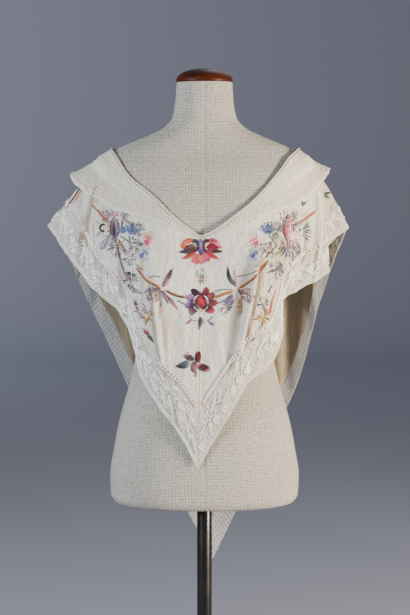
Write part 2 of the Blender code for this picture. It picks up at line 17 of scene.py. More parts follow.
import bmesh
import bpy
import numpy as np
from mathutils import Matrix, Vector, noise
from mathutils.bvhtree import BVHTree


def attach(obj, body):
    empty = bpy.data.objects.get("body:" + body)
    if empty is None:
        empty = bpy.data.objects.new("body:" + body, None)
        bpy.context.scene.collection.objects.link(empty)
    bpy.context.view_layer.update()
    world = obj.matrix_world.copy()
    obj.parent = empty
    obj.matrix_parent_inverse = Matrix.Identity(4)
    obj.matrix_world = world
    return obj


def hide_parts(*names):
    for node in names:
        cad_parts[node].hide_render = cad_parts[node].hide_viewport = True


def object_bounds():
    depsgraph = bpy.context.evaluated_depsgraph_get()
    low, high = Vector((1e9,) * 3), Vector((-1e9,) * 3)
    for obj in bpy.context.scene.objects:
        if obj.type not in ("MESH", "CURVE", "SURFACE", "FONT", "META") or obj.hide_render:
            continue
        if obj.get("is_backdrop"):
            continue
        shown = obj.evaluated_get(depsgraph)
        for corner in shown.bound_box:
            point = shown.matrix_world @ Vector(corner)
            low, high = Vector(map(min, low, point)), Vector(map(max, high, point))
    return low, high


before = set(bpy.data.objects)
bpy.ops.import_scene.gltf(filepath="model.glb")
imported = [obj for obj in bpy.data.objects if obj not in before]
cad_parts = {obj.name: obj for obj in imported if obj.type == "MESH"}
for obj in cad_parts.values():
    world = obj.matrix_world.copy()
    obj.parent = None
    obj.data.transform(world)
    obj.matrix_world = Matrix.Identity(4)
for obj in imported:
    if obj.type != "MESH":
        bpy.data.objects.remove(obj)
CAD_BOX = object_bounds()
LOG = logging.getLogger("canezou")
BODY = "root"

Array = np.ndarray
Pair = tuple[float, float]
Colour = tuple[int, int, int]
Triple = tuple[float, float, float]


class FormRing(NamedTuple):
    """Half width and depths of the dress form at a height."""

    height: float
    half_width: float
    front: float
    back: float


class RimPoint(NamedTuple):
    """A point of a rim of the cape, at a section of the ring round the shoulders."""

    section: float
    x: float
    y: float
    z: float


class TrimWidth(NamedTuple):
    """Widths of the collar and of the edging at a section, and how far the collar stands off."""

    section: float
    collar: float
    standoff: float
    edging: float


class Fold(NamedTuple):
    """A ridge of the cloth from a top to a foot, each a section and a fraction along it.

    Sharp is how much narrower one side is: the one with higher sections, or the other where it is negative.
    """

    top_section: float
    top_along: float
    foot_section: float
    foot_along: float
    rise: float
    half_width: float
    sharp: float = 0.0


FORM_RINGS = tuple(FormRing(*row) for row in (
    (0.420, 0.146, 0.092, 0.084), (0.424, 0.158, 0.102, 0.094), (0.436, 0.1655, 0.109, 0.101),
    (0.470, 0.1670, 0.112, 0.105), (0.512, 0.1610, 0.112, 0.104), (0.560, 0.1520, 0.108, 0.097),
    (0.600, 0.1415, 0.102, 0.088), (0.640, 0.1300, 0.097, 0.080), (0.698, 0.1200, 0.093, 0.073),
    (0.745, 0.1240, 0.096, 0.076), (0.800, 0.1380, 0.103, 0.086), (0.860, 0.1520, 0.107, 0.097),
    (0.915, 0.1620, 0.106, 0.104), (0.955, 0.1740, 0.100, 0.105), (0.985, 0.1820, 0.091, 0.101),
    (1.008, 0.1840, 0.081, 0.093), (1.024, 0.1780, 0.072, 0.084), (1.035, 0.1680, 0.066, 0.077),
    (1.045, 0.1520, 0.062, 0.071), (1.056, 0.1270, 0.058, 0.066), (1.068, 0.0980, 0.055, 0.061),
    (1.081, 0.0720, 0.053, 0.056), (1.097, 0.0570, 0.051, 0.053), (1.121, 0.0515, 0.0495, 0.0500),
    (1.160, 0.0485, 0.0480, 0.0480),
))
NECKLINE = tuple(RimPoint(*row) for row in (
    (0, -0.005, -0.113, 0.896), (1, -0.031, -0.112, 0.911), (2, -0.057, -0.106, 0.932),
    (3, -0.081, -0.095, 0.957), (4, -0.101, -0.084, 0.974), (5, -0.121, -0.074, 0.989),
    (6, -0.135, -0.064, 1.004), (7, -0.149, -0.048, 1.025), (8, -0.160, -0.016, 1.042),
    (9, -0.153, 0.032, 1.040), (10, -0.124, 0.070, 1.026), (11, -0.087, 0.094, 1.008),
    (13, 0.000, 0.106, 0.996), (15, 0.087, 0.094, 1.008), (16, 0.124, 0.070, 1.026),
    (17, 0.151, 0.040, 1.039), (18, 0.162, 0.016, 1.043), (19, 0.163, -0.004, 1.043),
    (20, 0.157, -0.026, 1.038), (21, 0.144, -0.049, 1.027), (22, 0.130, -0.064, 1.008),
    (23, 0.112, -0.077, 0.986), (24, 0.094, -0.088, 0.966), (25, 0.073, -0.098, 0.946),
    (26, 0.050, -0.106, 0.928), (27, 0.024, -0.111, 0.909),
))
CREST = tuple(RimPoint(*row) for row in (
    (0, -0.008, -0.1290, 0.800), (1, -0.038, -0.1310, 0.800), (2, -0.068, -0.1310, 0.805),
    (3, -0.095, -0.1240, 0.825), (4, -0.116, -0.1100, 0.855), (5, -0.137, -0.0950, 0.885),
    (6, -0.165, -0.0750, 0.915), (7, -0.195, -0.0450, 0.945), (8, -0.222, 0.0020, 0.973),
    (9, -0.205, 0.0550, 0.955), (10, -0.175, 0.0900, 0.920), (11, -0.130, 0.1120, 0.870),
    (13, 0.002, 0.1180, 0.760), (15, 0.130, 0.1120, 0.870), (16, 0.175, 0.0900, 0.915),
    (17, 0.200, 0.0580, 0.950), (18, 0.217, 0.0220, 0.975), (19, 0.207, 0.0040, 0.965),
    (20, 0.206, -0.0180, 0.952), (21, 0.188, -0.0420, 0.930), (22, 0.160, -0.0700, 0.905),
    (23, 0.135, -0.0920, 0.880), (24, 0.117, -0.1070, 0.855), (25, 0.097, -0.1220, 0.825),
    (26, 0.068, -0.1300, 0.805), (27, 0.032, -0.1305, 0.800),
))
HEM = tuple(RimPoint(*row) for row in (
    (0, -0.011, -0.116, 0.499), (1, -0.043, -0.117, 0.558), (2, -0.077, -0.113, 0.604),
    (3, -0.109, -0.100, 0.659), (4, -0.121, -0.088, 0.710), (5, -0.141, -0.078, 0.757),
    (6, -0.188, -0.055, 0.799), (7, -0.230, -0.020, 0.847), (8, -0.276, 0.025, 0.909),
    (9, -0.246, 0.058, 0.856), (10, -0.215, 0.074, 0.784), (11, -0.165, 0.088, 0.675),
    (12, -0.090, 0.108, 0.500), (13, 0.015, 0.118, 0.291), (14, 0.100, 0.110, 0.470),
    (15, 0.172, 0.094, 0.630), (16, 0.205, 0.080, 0.757), (17, 0.233, 0.062, 0.847),
    (18, 0.255, 0.032, 0.905), (19, 0.211, 0.010, 0.862), (20, 0.217, -0.015, 0.832),
    (21, 0.188, -0.038, 0.812), (22, 0.159, -0.055, 0.799), (23, 0.129, -0.075, 0.777),
    (24, 0.134, -0.079, 0.731), (25, 0.118, -0.088, 0.682), (26, 0.075, -0.108, 0.645),
    (27, 0.040, -0.117, 0.585),
))
TRIMS = tuple(TrimWidth(*row) for row in (
    (0, 0.006, 0.0000, 0.095), (1, 0.010, 0.0005, 0.085), (2, 0.022, 0.0015, 0.073),
    (3, 0.038, 0.0020, 0.064), (4, 0.049, 0.0025, 0.058), (5, 0.058, 0.0030, 0.056),
    (6, 0.067, 0.0050, 0.055), (7, 0.075, 0.0120, 0.055), (8, 0.082, 0.0260, 0.055),
    (9, 0.077, 0.0200, 0.048), (10, 0.070, 0.0110, 0.036), (11, 0.064, 0.0070, 0.042),
    (12, 0.062, 0.0060, 0.055), (13, 0.062, 0.0060, 0.078), (14, 0.062, 0.0060, 0.055),
    (15, 0.064, 0.0070, 0.042), (16, 0.066, 0.0110, 0.036), (17, 0.064, 0.0180, 0.048),
    (18, 0.063, 0.0220, 0.055), (19, 0.064, 0.0200, 0.055), (20, 0.070, 0.0120, 0.055),
    (21, 0.072, 0.0060, 0.055), (22, 0.066, 0.0040, 0.055), (23, 0.052, 0.0030, 0.056),
    (24, 0.038, 0.0025, 0.058), (25, 0.026, 0.0020, 0.064), (26, 0.016, 0.0010, 0.073),
    (27, 0.008, 0.0005, 0.085),
))
MAIN_FOLDS = tuple(Fold(*row) for row in (
    (24.9, 0.34, 26.3, 0.76, 0.0060, 0.0115), (25.4, 0.30, 26.9, 0.70, -0.0020, 0.0120),
    (2.5, 0.52, 2.0, 0.78, 0.0040, 0.0110), (7.6, 0.50, 6.7, 0.88, -0.0060, 0.0120),
    (6.7, 0.42, 5.2, 0.84, 0.0035, 0.0110), (21.4, 0.46, 21.8, 0.92, -0.0050, 0.0110),
    (22.4, 0.44, 23.2, 0.86, 0.0040, 0.0120), (9.6, 0.34, 10.4, 0.92, 0.0070, 0.0140),
    (10.6, 0.36, 11.5, 0.90, -0.0060, 0.0150), (11.6, 0.34, 12.4, 0.86, 0.0060, 0.0150),
    (13.4, 0.44, 13.2, 0.90, 0.0060, 0.0160), (14.7, 0.36, 13.9, 0.84, -0.0060, 0.0140),
    (15.5, 0.36, 14.7, 0.92, 0.0080, 0.0130), (16.5, 0.36, 15.9, 0.94, -0.0070, 0.0110),
))
# Narrow creases of the cloth, too fine for its solids
FINE_FOLDS = tuple(Fold(*row) for row in (
    (25.00, 0.33, 26.45, 0.77, 0.0105, 0.0130, -0.88), (24.80, 0.36, 26.20, 0.76, -0.0072, 0.0056),
    (23.8, 0.36, 25.0, 0.74, 0.0034, 0.0070, -0.6), (2.6, 0.46, 1.95, 0.76, 0.0056, 0.0090, 0.80),
    (3.6, 0.34, 3.2, 0.62, -0.0026, 0.0065), (1.7, 0.56, 1.5, 0.80, 0.0022, 0.0070, 0.4),
    (2.2, 0.44, 1.9, 0.70, -0.0016, 0.0055), (27.4, 0.44, 27.1, 0.72, 0.0014, 0.0060, 0.5),
    (6.9, 0.30, 6.0, 0.84, 0.0040, 0.0080, 0.7), (5.6, 0.40, 4.7, 0.72, -0.0016, 0.0080),
    (7.2, 0.42, 6.8, 0.76, -0.0060, 0.0095), (6.9, 0.68, 5.7, 0.80, -0.0040, 0.0075),
    (8.4, 0.44, 8.1, 0.90, 0.0016, 0.0070), (7.3, 0.60, 6.9, 0.95, 0.0018, 0.0070, -0.5),
    (20.4, 0.36, 20.8, 0.76, 0.0030, 0.0075, 0.6), (21.9, 0.40, 22.5, 0.84, 0.0024, 0.0070, -0.6),
    (23.3, 0.30, 24.4, 0.74, -0.0018, 0.0070), (19.9, 0.50, 20.1, 0.94, -0.0020, 0.0080),
    (22.9, 0.52, 23.6, 0.96, 0.0018, 0.0065, -0.5), (26.8, 0.30, 27.4, 0.60, 0.0011, 0.0070),
    (0.9, 0.36, 0.6, 0.66, 0.0010, 0.0070), (4.3, 0.60, 3.7, 0.96, 0.0014, 0.0070, 0.5),
    (1.1, 0.80, 0.7, 0.98, 0.0014, 0.0060), (26.9, 0.82, 27.3, 0.98, 0.0012, 0.0060),
    (25.4, 0.80, 26.0, 0.98, -0.0012, 0.0070), (9.9, 0.50, 10.6, 0.95, -0.0018, 0.0060),
    (11.0, 0.44, 11.9, 0.88, 0.0020, 0.0070), (12.4, 0.40, 12.8, 0.86, -0.0018, 0.0070),
    (14.2, 0.46, 13.6, 0.86, 0.0018, 0.0070), (15.1, 0.42, 14.5, 0.90, -0.0020, 0.0065),
    (16.1, 0.40, 15.6, 0.95, 0.0022, 0.0060), (17.0, 0.40, 16.7, 0.90, 0.0016, 0.0060),
    (18.5, 0.46, 18.4, 0.92, -0.0016, 0.0060), (20.5, 0.58, 21.0, 1.00, 0.0030, 0.0060, 0.7),
    (21.5, 0.56, 22.1, 1.00, 0.0028, 0.0055, -0.7), (22.4, 0.56, 22.9, 0.98, 0.0026, 0.0050, 0.7),
    (19.8, 0.62, 20.2, 1.00, 0.0024, 0.0050, -0.6), (5.3, 0.62, 4.9, 0.98, 0.0026, 0.0055, -0.6),
    (6.3, 0.60, 6.1, 1.00, 0.0030, 0.0060, 0.7), (7.0, 0.64, 7.2, 1.00, 0.0028, 0.0050, -0.7),
    (3.4, 0.80, 2.9, 1.00, 0.0020, 0.0050, 0.6), (24.9, 0.86, 25.4, 1.00, 0.0020, 0.0050, -0.6),
    (7.7, 0.60, 7.9, 0.98, 0.0024, 0.0050, 0.6),
))


def steady_curve(known_at: Iterable[float], known: Iterable[float], at: Iterable[float]) -> Array:
    """Values on a cubic through the known ones that never swings past them.

    Args:
        known_at: Places of the known values, rising.
        known: The known values.
        at: Places asked for.

    Returns:
        The value at each place asked for.
    """
    known_at, known, at = (np.asarray(list(v) if not isinstance(v, Array) else v, float)
                           for v in (known_at, known, at))
    gaps = np.diff(known_at)
    slopes = np.diff(known) / gaps
    same_way = slopes[:-1] * slopes[1:] > 0
    safe = np.where(same_way, slopes[:-1] + slopes[1:], 1.0)
    inner = np.where(same_way, 2 * slopes[:-1] * slopes[1:] / safe, 0.0)
    tangents = np.concatenate([slopes[:1], inner, slopes[-1:]])
    place = np.clip(np.searchsorted(known_at, at) - 1, 0, len(gaps) - 1)
    t = np.clip((at - known_at[place]) / gaps[place], 0, 1)
    return ((2 * t**3 - 3 * t**2 + 1) * known[place] + (t**3 - 2 * t**2 + t) * gaps[place] * tangents[place]
            + (3 * t**2 - 2 * t**3) * known[place + 1] + (t**3 - t**2) * gaps[place] * tangents[place + 1])


def unit(vectors: Array) -> Array:
    """Vectors scaled to length 1."""
    return vectors / np.maximum(np.linalg.norm(vectors, axis=-1, keepdims=True), 1e-12)


def travelled(route: Array) -> Array:
    """Distance along a route at each of its points."""
    return np.concatenate([[0.0], np.cumsum(np.linalg.norm(np.diff(route, axis=0), axis=1))])


def within(values: Array, low: Pair, high: Pair) -> Array:
    """1 between two limits and 0 beyond them; each limit comes with the width of its fade."""
    return np.clip((values - low[0]) / low[1], 0, 1) * np.clip((high[0] - values) / high[1], 0, 1)


def heading(turn: float) -> Array:
    """The flat direction of an angle."""
    return np.array([math.cos(turn), math.sin(turn)])


def quarter_turn(way: Array) -> Array:
    """A flat direction turned a quarter to the left."""
    return np.array([-way[1], way[0]])


def linear(red: int, green: int, blue: int) -> tuple[float, float, float, float]:
    """A shader colour from red, green and blue of 0 to 255."""
    parts = [v / 255 for v in (red, green, blue)]
    return (*[p / 12.92 if p <= 0.04045 else ((p + 0.055) / 1.055) ** 2.4 for p in parts], 1.0)


class Viewpoint:
    """The camera at the photograph's angle."""

    place = Vector((0.001, -3.10, 0.995))
    pitch = math.radians(4.223)
    picture = (410, 615)
    focal = 1762.4
    sensor = 36.0

    def build(self) -> bpy.types.Object:
        """Makes the camera and gives it to the scene."""
        data = bpy.data.cameras.new("camera")
        data.sensor_fit = "VERTICAL"
        data.sensor_width = data.sensor_height = self.sensor
        data.lens = self.focal / self.picture[1] * self.sensor
        camera = bpy.data.objects.new("camera", data)
        camera.location = self.place
        camera.rotation_euler = (math.pi / 2 - self.pitch, 0, 0)
        bpy.context.scene.collection.objects.link(camera)
        bpy.context.scene.camera = camera
        return camera


class Graph:
    """A short hand for placing shader nodes and joining them."""

    def __init__(self, tree: bpy.types.NodeTree) -> None:
        """Works on the nodes of one tree."""
        self.tree = tree

    def give(self, node: bpy.types.Node, values: dict) -> None:
        """Sets inputs of a node, by name or index, to numbers, colours or the outputs of other nodes."""
        for name, value in values.items():
            if isinstance(value, bpy.types.NodeSocket):
                self.tree.links.new(value, node.inputs[name])
            else:
                node.inputs[name].default_value = value

    def node(self, kind: str, values: dict | None = None, **settings: object) -> bpy.types.Node:
        """Adds a node.

        Args:
            kind: Type of the node, without its prefix.
            values: Numbers, colours or sockets for its inputs, by name or index.
            settings: Other settings of the node.

        Returns:
            The new node.
        """
        made = self.tree.nodes.new("ShaderNode" + kind)
        for name, value in settings.items():
            setattr(made, name, value)
        self.give(made, values or {})
        return made

    def math(self, operation: str, *values: object) -> bpy.types.NodeSocket:
        """A sum or other operation on one to three numbers."""
        return self.node("Math", dict(enumerate(values)), operation=operation).outputs[0]

    def times(self, first: object, second: object) -> bpy.types.NodeSocket:
        """The product of two numbers."""
        return self.math("MULTIPLY", first, second)

    def ramp(self, value: object, low: float, high: float, to_low: float = 0.0, to_high: float = 1.0
             ) -> bpy.types.NodeSocket:
        """Maps the range from low to high on another one, and holds it there."""
        values = {"Value": value, "From Min": low, "From Max": high, "To Min": to_low, "To Max": to_high}
        return self.node("MapRange", values, clamp=True).outputs[0]

    def mix(self, factor: object, first: object, second: object, blend: str = "MIX") -> bpy.types.NodeSocket:
        """A mixture of two colours."""
        values = {0: factor, 6: first, 7: second}
        return self.node("Mix", values, data_type="RGBA", blend_type=blend).outputs[2]

    def grey(self, value: object) -> bpy.types.NodeSocket:
        """A number as a grey colour."""
        return self.node("CombineColor", dict.fromkeys(range(3), value)).outputs[0]

    def noise(self, vector: object, scale: float, detail: float = 2.0, rough: float = 0.5
              ) -> bpy.types.NodeSocket:
        """Cloudy noise between 0 and 1."""
        values = {"Vector": vector, "Scale": scale, "Detail": detail, "Roughness": rough}
        return self.node("TexNoise", values).outputs[0]

    def stretched(self, vector: object, scale: Triple) -> bpy.types.NodeSocket:
        """Coordinates scaled by different amounts along their axes."""
        return self.node("Mapping", {"Vector": vector, "Scale": scale}).outputs[0]

    def bump(self, height: object, distance: float, strength: float, **under: object) -> bpy.types.NodeSocket:
        """The normal of a height in metres, over the one given as Normal, if any."""
        values = {"Height": height, "Distance": distance, "Strength": strength, **under}
        return self.node("Bump", values).outputs[0]

    def call(self, group: bpy.types.NodeTree, **values: object) -> bpy.types.Node:
        """Places a node group with its own values."""
        return self.node("Group", values, node_tree=group)


def new_group(name: str, inputs: dict[str, str], outputs: dict[str, str]
              ) -> tuple[bpy.types.NodeTree, Graph, bpy.types.Node, bpy.types.Node]:
    """An empty shader node group.

    Args:
        name: Name of the group.
        inputs: Kinds of its inputs, such as Float, by name.
        outputs: Kinds of its outputs, by name.

    Returns:
        The group, its graph, and its input and output nodes.
    """
    group = bpy.data.node_groups.new(name, "ShaderNodeTree")
    for direction, sockets in (("INPUT", inputs), ("OUTPUT", outputs)):
        for socket, kind in sockets.items():
            group.interface.new_socket(name=socket, in_out=direction, socket_type="NodeSocket" + kind)
    return group, Graph(group), group.nodes.new("NodeGroupInput"), group.nodes.new("NodeGroupOutput")


def new_material(name: str) -> tuple[bpy.types.Material, Graph, bpy.types.Node]:
    """A plain material, the graph of its nodes, and its shader."""
    material = bpy.data.materials.new(name)
    material.use_nodes = True
    return material, Graph(material.node_tree), material.node_tree.nodes["Principled BSDF"]


class Effects:
    """Node groups for the effects that several finishes share."""

    slub_scales = ((260.0, 14.0, 1.0), (14.0, 260.0, 1.0))
    cloud_scale, spot_scale = 9.0, 38.0

    def __init__(self) -> None:
        """Builds each group once."""
        self.weave = self.plain_weave()
        self.age = self.ageing()

    def plain_weave(self) -> bpy.types.NodeTree:
        """Threads over and under each other at a pitch in metres, uneven by the share in Slub."""
        inputs = {"Vector": "Vector", "Pitch": "Float", "Slub": "Float"}
        group, g, asked, given = new_group("plain_weave", inputs, {"Thread": "Float", "Gap": "Float"})
        vector, pitch, slub = (asked.outputs[name] for name in inputs)
        apart = g.node("SeparateXYZ", {0: vector}).outputs
        waves = []
        for axis, scale in enumerate(self.slub_scales):
            drift = g.noise(g.stretched(vector, scale), 1.0, 3.0, 0.6)
            pushed = g.times(g.math("SUBTRACT", drift, 0.5), slub)
            turns = g.math("ADD", g.math("DIVIDE", apart[axis], pitch), pushed)
            waves.append(g.math("ABSOLUTE", g.math("SINE", g.times(turns, math.pi))))
        gap = g.ramp(g.math("MAXIMUM", *waves), 0.30, 0.45, 1.0, 0.0)
        g.give(given, {"Thread": g.times(*waves), "Gap": gap})
        return group

    def ageing(self) -> bpy.types.NodeTree:
        """Cloudy yellowing and a few darker spots over a colour."""
        inputs = {"Vector": "Vector", "Color": "Color", "Stain": "Color", "Amount": "Float"}
        group, g, asked, given = new_group("ageing", inputs, {"Color": "Color"})
        vector, colour, stain, amount = (asked.outputs[name] for name in inputs)
        clouds = g.ramp(g.noise(vector, self.cloud_scale, 4.0, 0.55), 0.46, 0.74)
        cast = g.mix(g.times(clouds, amount), colour, stain)
        spots = g.ramp(g.noise(vector, self.spot_scale, 3.0, 0.6), 0.66, 0.80)
        g.give(given, {"Color": g.mix(g.times(g.times(spots, amount), 0.6), cast, stain)})
        return group


@dataclass(frozen=True)
class Cloth:
    """A woven finish whose threads follow the piece's own UV map, in metres."""

    name: str
    colour: Colour
    stain: Colour
    pitch: float
    relief: float
    alpha: float = 1.0
    stained: float = 0.35
    slub: float = 0.5
    contrast: float = 0.10
    roughness: float = 0.85
    sheen: float = 0.15
    streak: Pair = (420.0, 22.0)
    crinkle: float = 0.0
    # How much painted shade the cloth takes where its shade attribute is high: shade of creases, hollows and
    # slits painted into its colour
    dusty: float = 0.0
    flecked: float = 0.0
    punched: bool = False
    # Colour of that painted shade
    dust_colour: Colour = (118, 92, 56)
    # Colour painted into the collar's drawn-thread holes: painted shade seen through them
    hole_colour: Colour = (104, 86, 66)
    hole_pitches: Pair = (0.0046, 0.0044)

    def build(self, effects: Effects) -> bpy.types.Material:
        """The material of this finish, with the node groups that the finishes share."""
        material, g, shader = new_material(self.name)
        run = g.node("UVMap", uv_map="cloth").outputs[0]
        place = g.node("TexCoord").outputs["Object"]
        weave = g.call(effects.weave, Vector=run, Pitch=self.pitch, Slub=self.slub)
        colour = g.call(effects.age, Vector=place, Color=linear(*self.colour), Stain=linear(*self.stain),
                        Amount=self.stained).outputs[0]
        fine, long = self.streak
        streaks = g.noise(g.stretched(run, (fine, long, 1.0)), 1.0, 2.0)
        bars = g.noise(g.stretched(run, (long, fine, 1.0)), 1.0, 2.0)
        tone = g.times(g.math("ADD", streaks, bars), 0.5)
        shade = g.times(g.ramp(tone, 0.3, 0.7, 1.0 - self.contrast, 1.0),
                        g.ramp(weave.outputs["Thread"], 0.0, 0.7, 1.0 - 1.6 * self.contrast, 1.0))
        if self.flecked:
            flecks = g.noise(run, 330.0, 2.0, 0.7)
            shade = g.times(shade, g.ramp(flecks, 0.36, 0.62, 1.0 - self.flecked, 1.0))
        colour = g.mix(1.0, colour, g.grey(shade), "MULTIPLY")
        height = g.times(weave.outputs["Thread"], g.ramp(tone, 0.3, 0.7, 0.6, 1.0))
        if self.punched:
            holes = self.holes(g, run)
            # The holes are a real pattern; their dark brown is painted shade seen through them
            colour = g.mix(g.times(holes, 0.95), colour, linear(*self.hole_colour))
            height = g.math("SUBTRACT", height, g.times(holes, 2.0))
        # Painted shade: a brown mixed in by the shade attribute of creases, hollows and slits
        if self.dusty:
            dust = g.node("Attribute", attribute_name="dust").outputs["Fac"]
            colour = g.mix(g.times(dust, self.dusty), colour, linear(*self.dust_colour))
        normal = g.bump(height, self.relief, 0.8)
        if self.crinkle:
            soft = g.noise(g.stretched(run, (95.0, 60.0, 1.0)), 1.0, 3.0, 0.55)
            normal = g.bump(soft, self.crinkle, 1.0, Normal=normal)
        g.give(shader, {"Base Color": colour, "Normal": normal, "Roughness": self.roughness,
                        "Sheen Weight": self.sheen, "Specular IOR Level": 0.25})
        if self.alpha < 1:
            open_share = g.times(g.times(weave.outputs["Gap"], 0.5), 1 - self.alpha)
            g.give(shader, {"Alpha": g.math("SUBTRACT", self.alpha, open_share)})
        return material

    def holes(self, g: Graph, run: bpy.types.NodeSocket) -> bpy.types.NodeSocket:
        """Rows of small drawn-thread holes where the openwork attribute says so."""
        apart = g.node("SeparateXYZ", {0: run}).outputs
        rows = [g.ramp(g.math("SINE", g.times(apart[axis], 2 * math.pi / pitch)), -0.2, 0.5)
                for axis, pitch in enumerate(self.hole_pitches)]
        band = g.node("Attribute", attribute_name="openwork").outputs["Fac"]
        return g.times(g.times(*rows), band)


@dataclass(frozen=True)
class Thread:
    """A finish of silk or cotton threads that each carry their own colour."""

    name: str
    roughness: float
    sheen: float
    coat: float
    relief: float = 0.0001

    def build(self) -> bpy.types.Material:
        """The material of this finish."""
        material, g, shader = new_material(self.name)
        own = g.node("Attribute", attribute_name="thread_colour").outputs["Color"]
        place = g.node("TexCoord").outputs["Object"]
        fibre = g.noise(place, 900.0, 2.0)
        worn = g.ramp(g.noise(place, 60.0, 3.0), 0.35, 0.75, 1.0, 0.86)
        shade = g.times(g.ramp(fibre, 0.3, 0.7, 0.84, 1.06), worn)
        g.give(shader, {"Base Color": g.mix(1.0, own, g.grey(shade), "MULTIPLY"),
                        "Normal": g.bump(fibre, self.relief, 0.5), "Roughness": self.roughness,
                        "Sheen Weight": self.sheen, "Coat Weight": self.coat, "Coat Roughness": 0.35})
        return material


@dataclass(frozen=True)
class Polished:
    """Polished mahogany, or black enamelled metal, by its colours and its grain."""

    name: str
    colour: Colour
    second: Colour
    stretch: Triple
    roughness: float
    metallic: float
    coat: float
    relief: float
    specular: float = 0.3

    def build(self) -> bpy.types.Material:
        """The material of this finish."""
        material, g, shader = new_material(self.name)
        place = g.node("TexCoord").outputs["Object"]
        grain = g.noise(g.stretched(place, self.stretch), 1.0, 5.0, 0.6)
        tone = g.ramp(grain, 0.36, 0.66)
        worn = g.ramp(g.noise(place, 45.0, 3.0), 0.3, 0.8, self.roughness, self.roughness + 0.16)
        g.give(shader, {"Base Color": g.mix(tone, linear(*self.colour), linear(*self.second)),
                        "Roughness": worn, "Normal": g.bump(grain, self.relief, 0.5),
                        "Metallic": self.metallic, "Specular IOR Level": self.specular,
                        "Coat Weight": self.coat, "Coat Roughness": 0.12})
        return material


class Finishes:
    """Every material of the model, made once."""

    def __init__(self) -> None:
        """Builds every finish."""
        effects = Effects()
        cotton = partial(Cloth, stain=(216, 196, 156), pitch=0.00080, relief=0.00015, slub=0.8)
        self.linen = Cloth(
            "linen", (222, 216, 206), (204, 194, 174), 0.0025, 0.0008, stained=0.30, slub=0.6, contrast=0.46,
            roughness=0.92, sheen=0.1, streak=(430.0, 120.0), flecked=0.26).build(effects)
        # The amounts of painted shade below darken creases, hollows and slits in these finishes
        self.muslin = cotton("muslin", (238, 235, 229), alpha=0.90, stained=0.55, contrast=0.22,
                             crinkle=0.0056, dusty=0.80, flecked=0.10).build(effects)
        self.back_muslin = cotton("back_muslin", (234, 227, 210), stain=(208, 188, 150), alpha=0.74,
                                  stained=0.50, contrast=0.16, crinkle=0.0032, dusty=0.34,
                                  flecked=0.05).build(effects)
        # The back panel's inner side: a darker, browner copy of its muslin, painted shade of the side that
        # faces the form
        self.back_inside = cotton("back_muslin_inside", (198, 186, 158), stain=(170, 146, 102), alpha=0.70,
                                  stained=0.55, contrast=0.20, crinkle=0.0050, dusty=0.66,
                                  flecked=0.10).build(effects)
        self.border = cotton("border_muslin", (228, 225, 219), alpha=0.88, stained=0.60, contrast=0.24,
                             crinkle=0.0052, dusty=0.80, flecked=0.32).build(effects)
        self.collar = cotton("collar_cotton", (234, 228, 216), relief=0.00016, stained=0.50, contrast=0.20,
                             crinkle=0.0036, flecked=0.10, punched=True).build(effects)
        self.net = cotton("net", (238, 236, 232), relief=0.00012, slub=0.5, alpha=0.78, stained=0.20,
                          contrast=0.10).build(effects)
        self.openwork = cotton("openwork", (236, 224, 211), relief=0.00012, slub=0.5, stained=0.35,
                               contrast=0.08, dusty=0.85).build(effects)
        self.silk = Thread("embroidery_silk", 0.40, 0.08, 0.05).build()
        self.white_thread = Thread("whitework_thread", 0.30, 0.30, 0.50).build()
        self.mahogany = Polished("mahogany", (74, 26, 6), (32, 10, 4), (18.0, 240.0, 240.0), 0.42, 0.0, 0.02,
                                 0.00008, 0.14).build()
        self.black_metal = Polished("black_metal", (16, 15, 15), (26, 24, 22), (60.0, 60.0, 8.0), 0.26, 0.35,
                                    0.25, 0.00003).build()


def new_piece(name: str, points: Sequence | Array, faces: Sequence, material: bpy.types.Material
              ) -> bpy.types.Object:
    """A smooth mesh piece of the model that rides on its body.

    Args:
        name: Name of the piece.
        points: Its points.
        faces: The corners of each face.
        material: Its finish.

    Returns:
        The new object.
    """
    mesh = bpy.data.meshes.new(name)
    mesh.from_pydata([tuple(map(float, p)) for p in points], [], [tuple(map(int, f)) for f in faces])
    mesh.validate()
    mesh.shade_smooth()
    mesh.materials.append(material)
    piece = bpy.data.objects.new(name, mesh)
    bpy.context.scene.collection.objects.link(piece)
    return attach(piece, BODY)


def grid_faces(columns: int, rows: int, offset: int = 0) -> list[tuple[int, int, int, int]]:
    """Faces of a grid of points listed column by column, which point outwards on the cape."""
    return [(offset + c * rows + r, offset + (c + 1) * rows + r, offset + (c + 1) * rows + r + 1,
             offset + c * rows + r + 1) for c in range(columns - 1) for r in range(rows - 1)]


def set_uv(mesh: bpy.types.Mesh, uv: Array) -> None:
    """Gives each point of a mesh its place in the UV map of the cloth."""
    layer = mesh.uv_layers.new(name="cloth")
    corners = np.zeros(len(mesh.loops), dtype=int)
    mesh.loops.foreach_get("vertex_index", corners)
    layer.data.foreach_set("uv", np.asarray(uv, np.float32).reshape(-1, 2)[corners].ravel())


def mark(mesh: bpy.types.Mesh, name: str, values: Array) -> None:
    """Gives each point of a mesh a number that its finish reads."""
    attribute = mesh.attributes.new(name, "FLOAT", "POINT")
    attribute.data.foreach_set("value", np.asarray(values, np.float32).ravel())


def merge_points(mesh: bpy.types.Mesh, doubles: float = 0.0, needles: float = 0.0, outwards: bool = True
                 ) -> None:
    """Cleans a mesh that was made from points and faces.

    Args:
        mesh: The mesh.
        doubles: Distance within which points become one, or 0 to leave them.
        needles: Length below which an edge is taken out, or 0 to leave them.
        outwards: Whether its faces are turned to point outwards.
    """
    shape = bmesh.new()
    shape.from_mesh(mesh)
    if doubles:
        bmesh.ops.remove_doubles(shape, verts=shape.verts, dist=doubles)
    if needles:
        bmesh.ops.dissolve_degenerate(shape, dist=needles, edges=shape.edges)
    if outwards:
        bmesh.ops.recalc_face_normals(shape, faces=shape.faces)
    shape.to_mesh(mesh)
    shape.free()


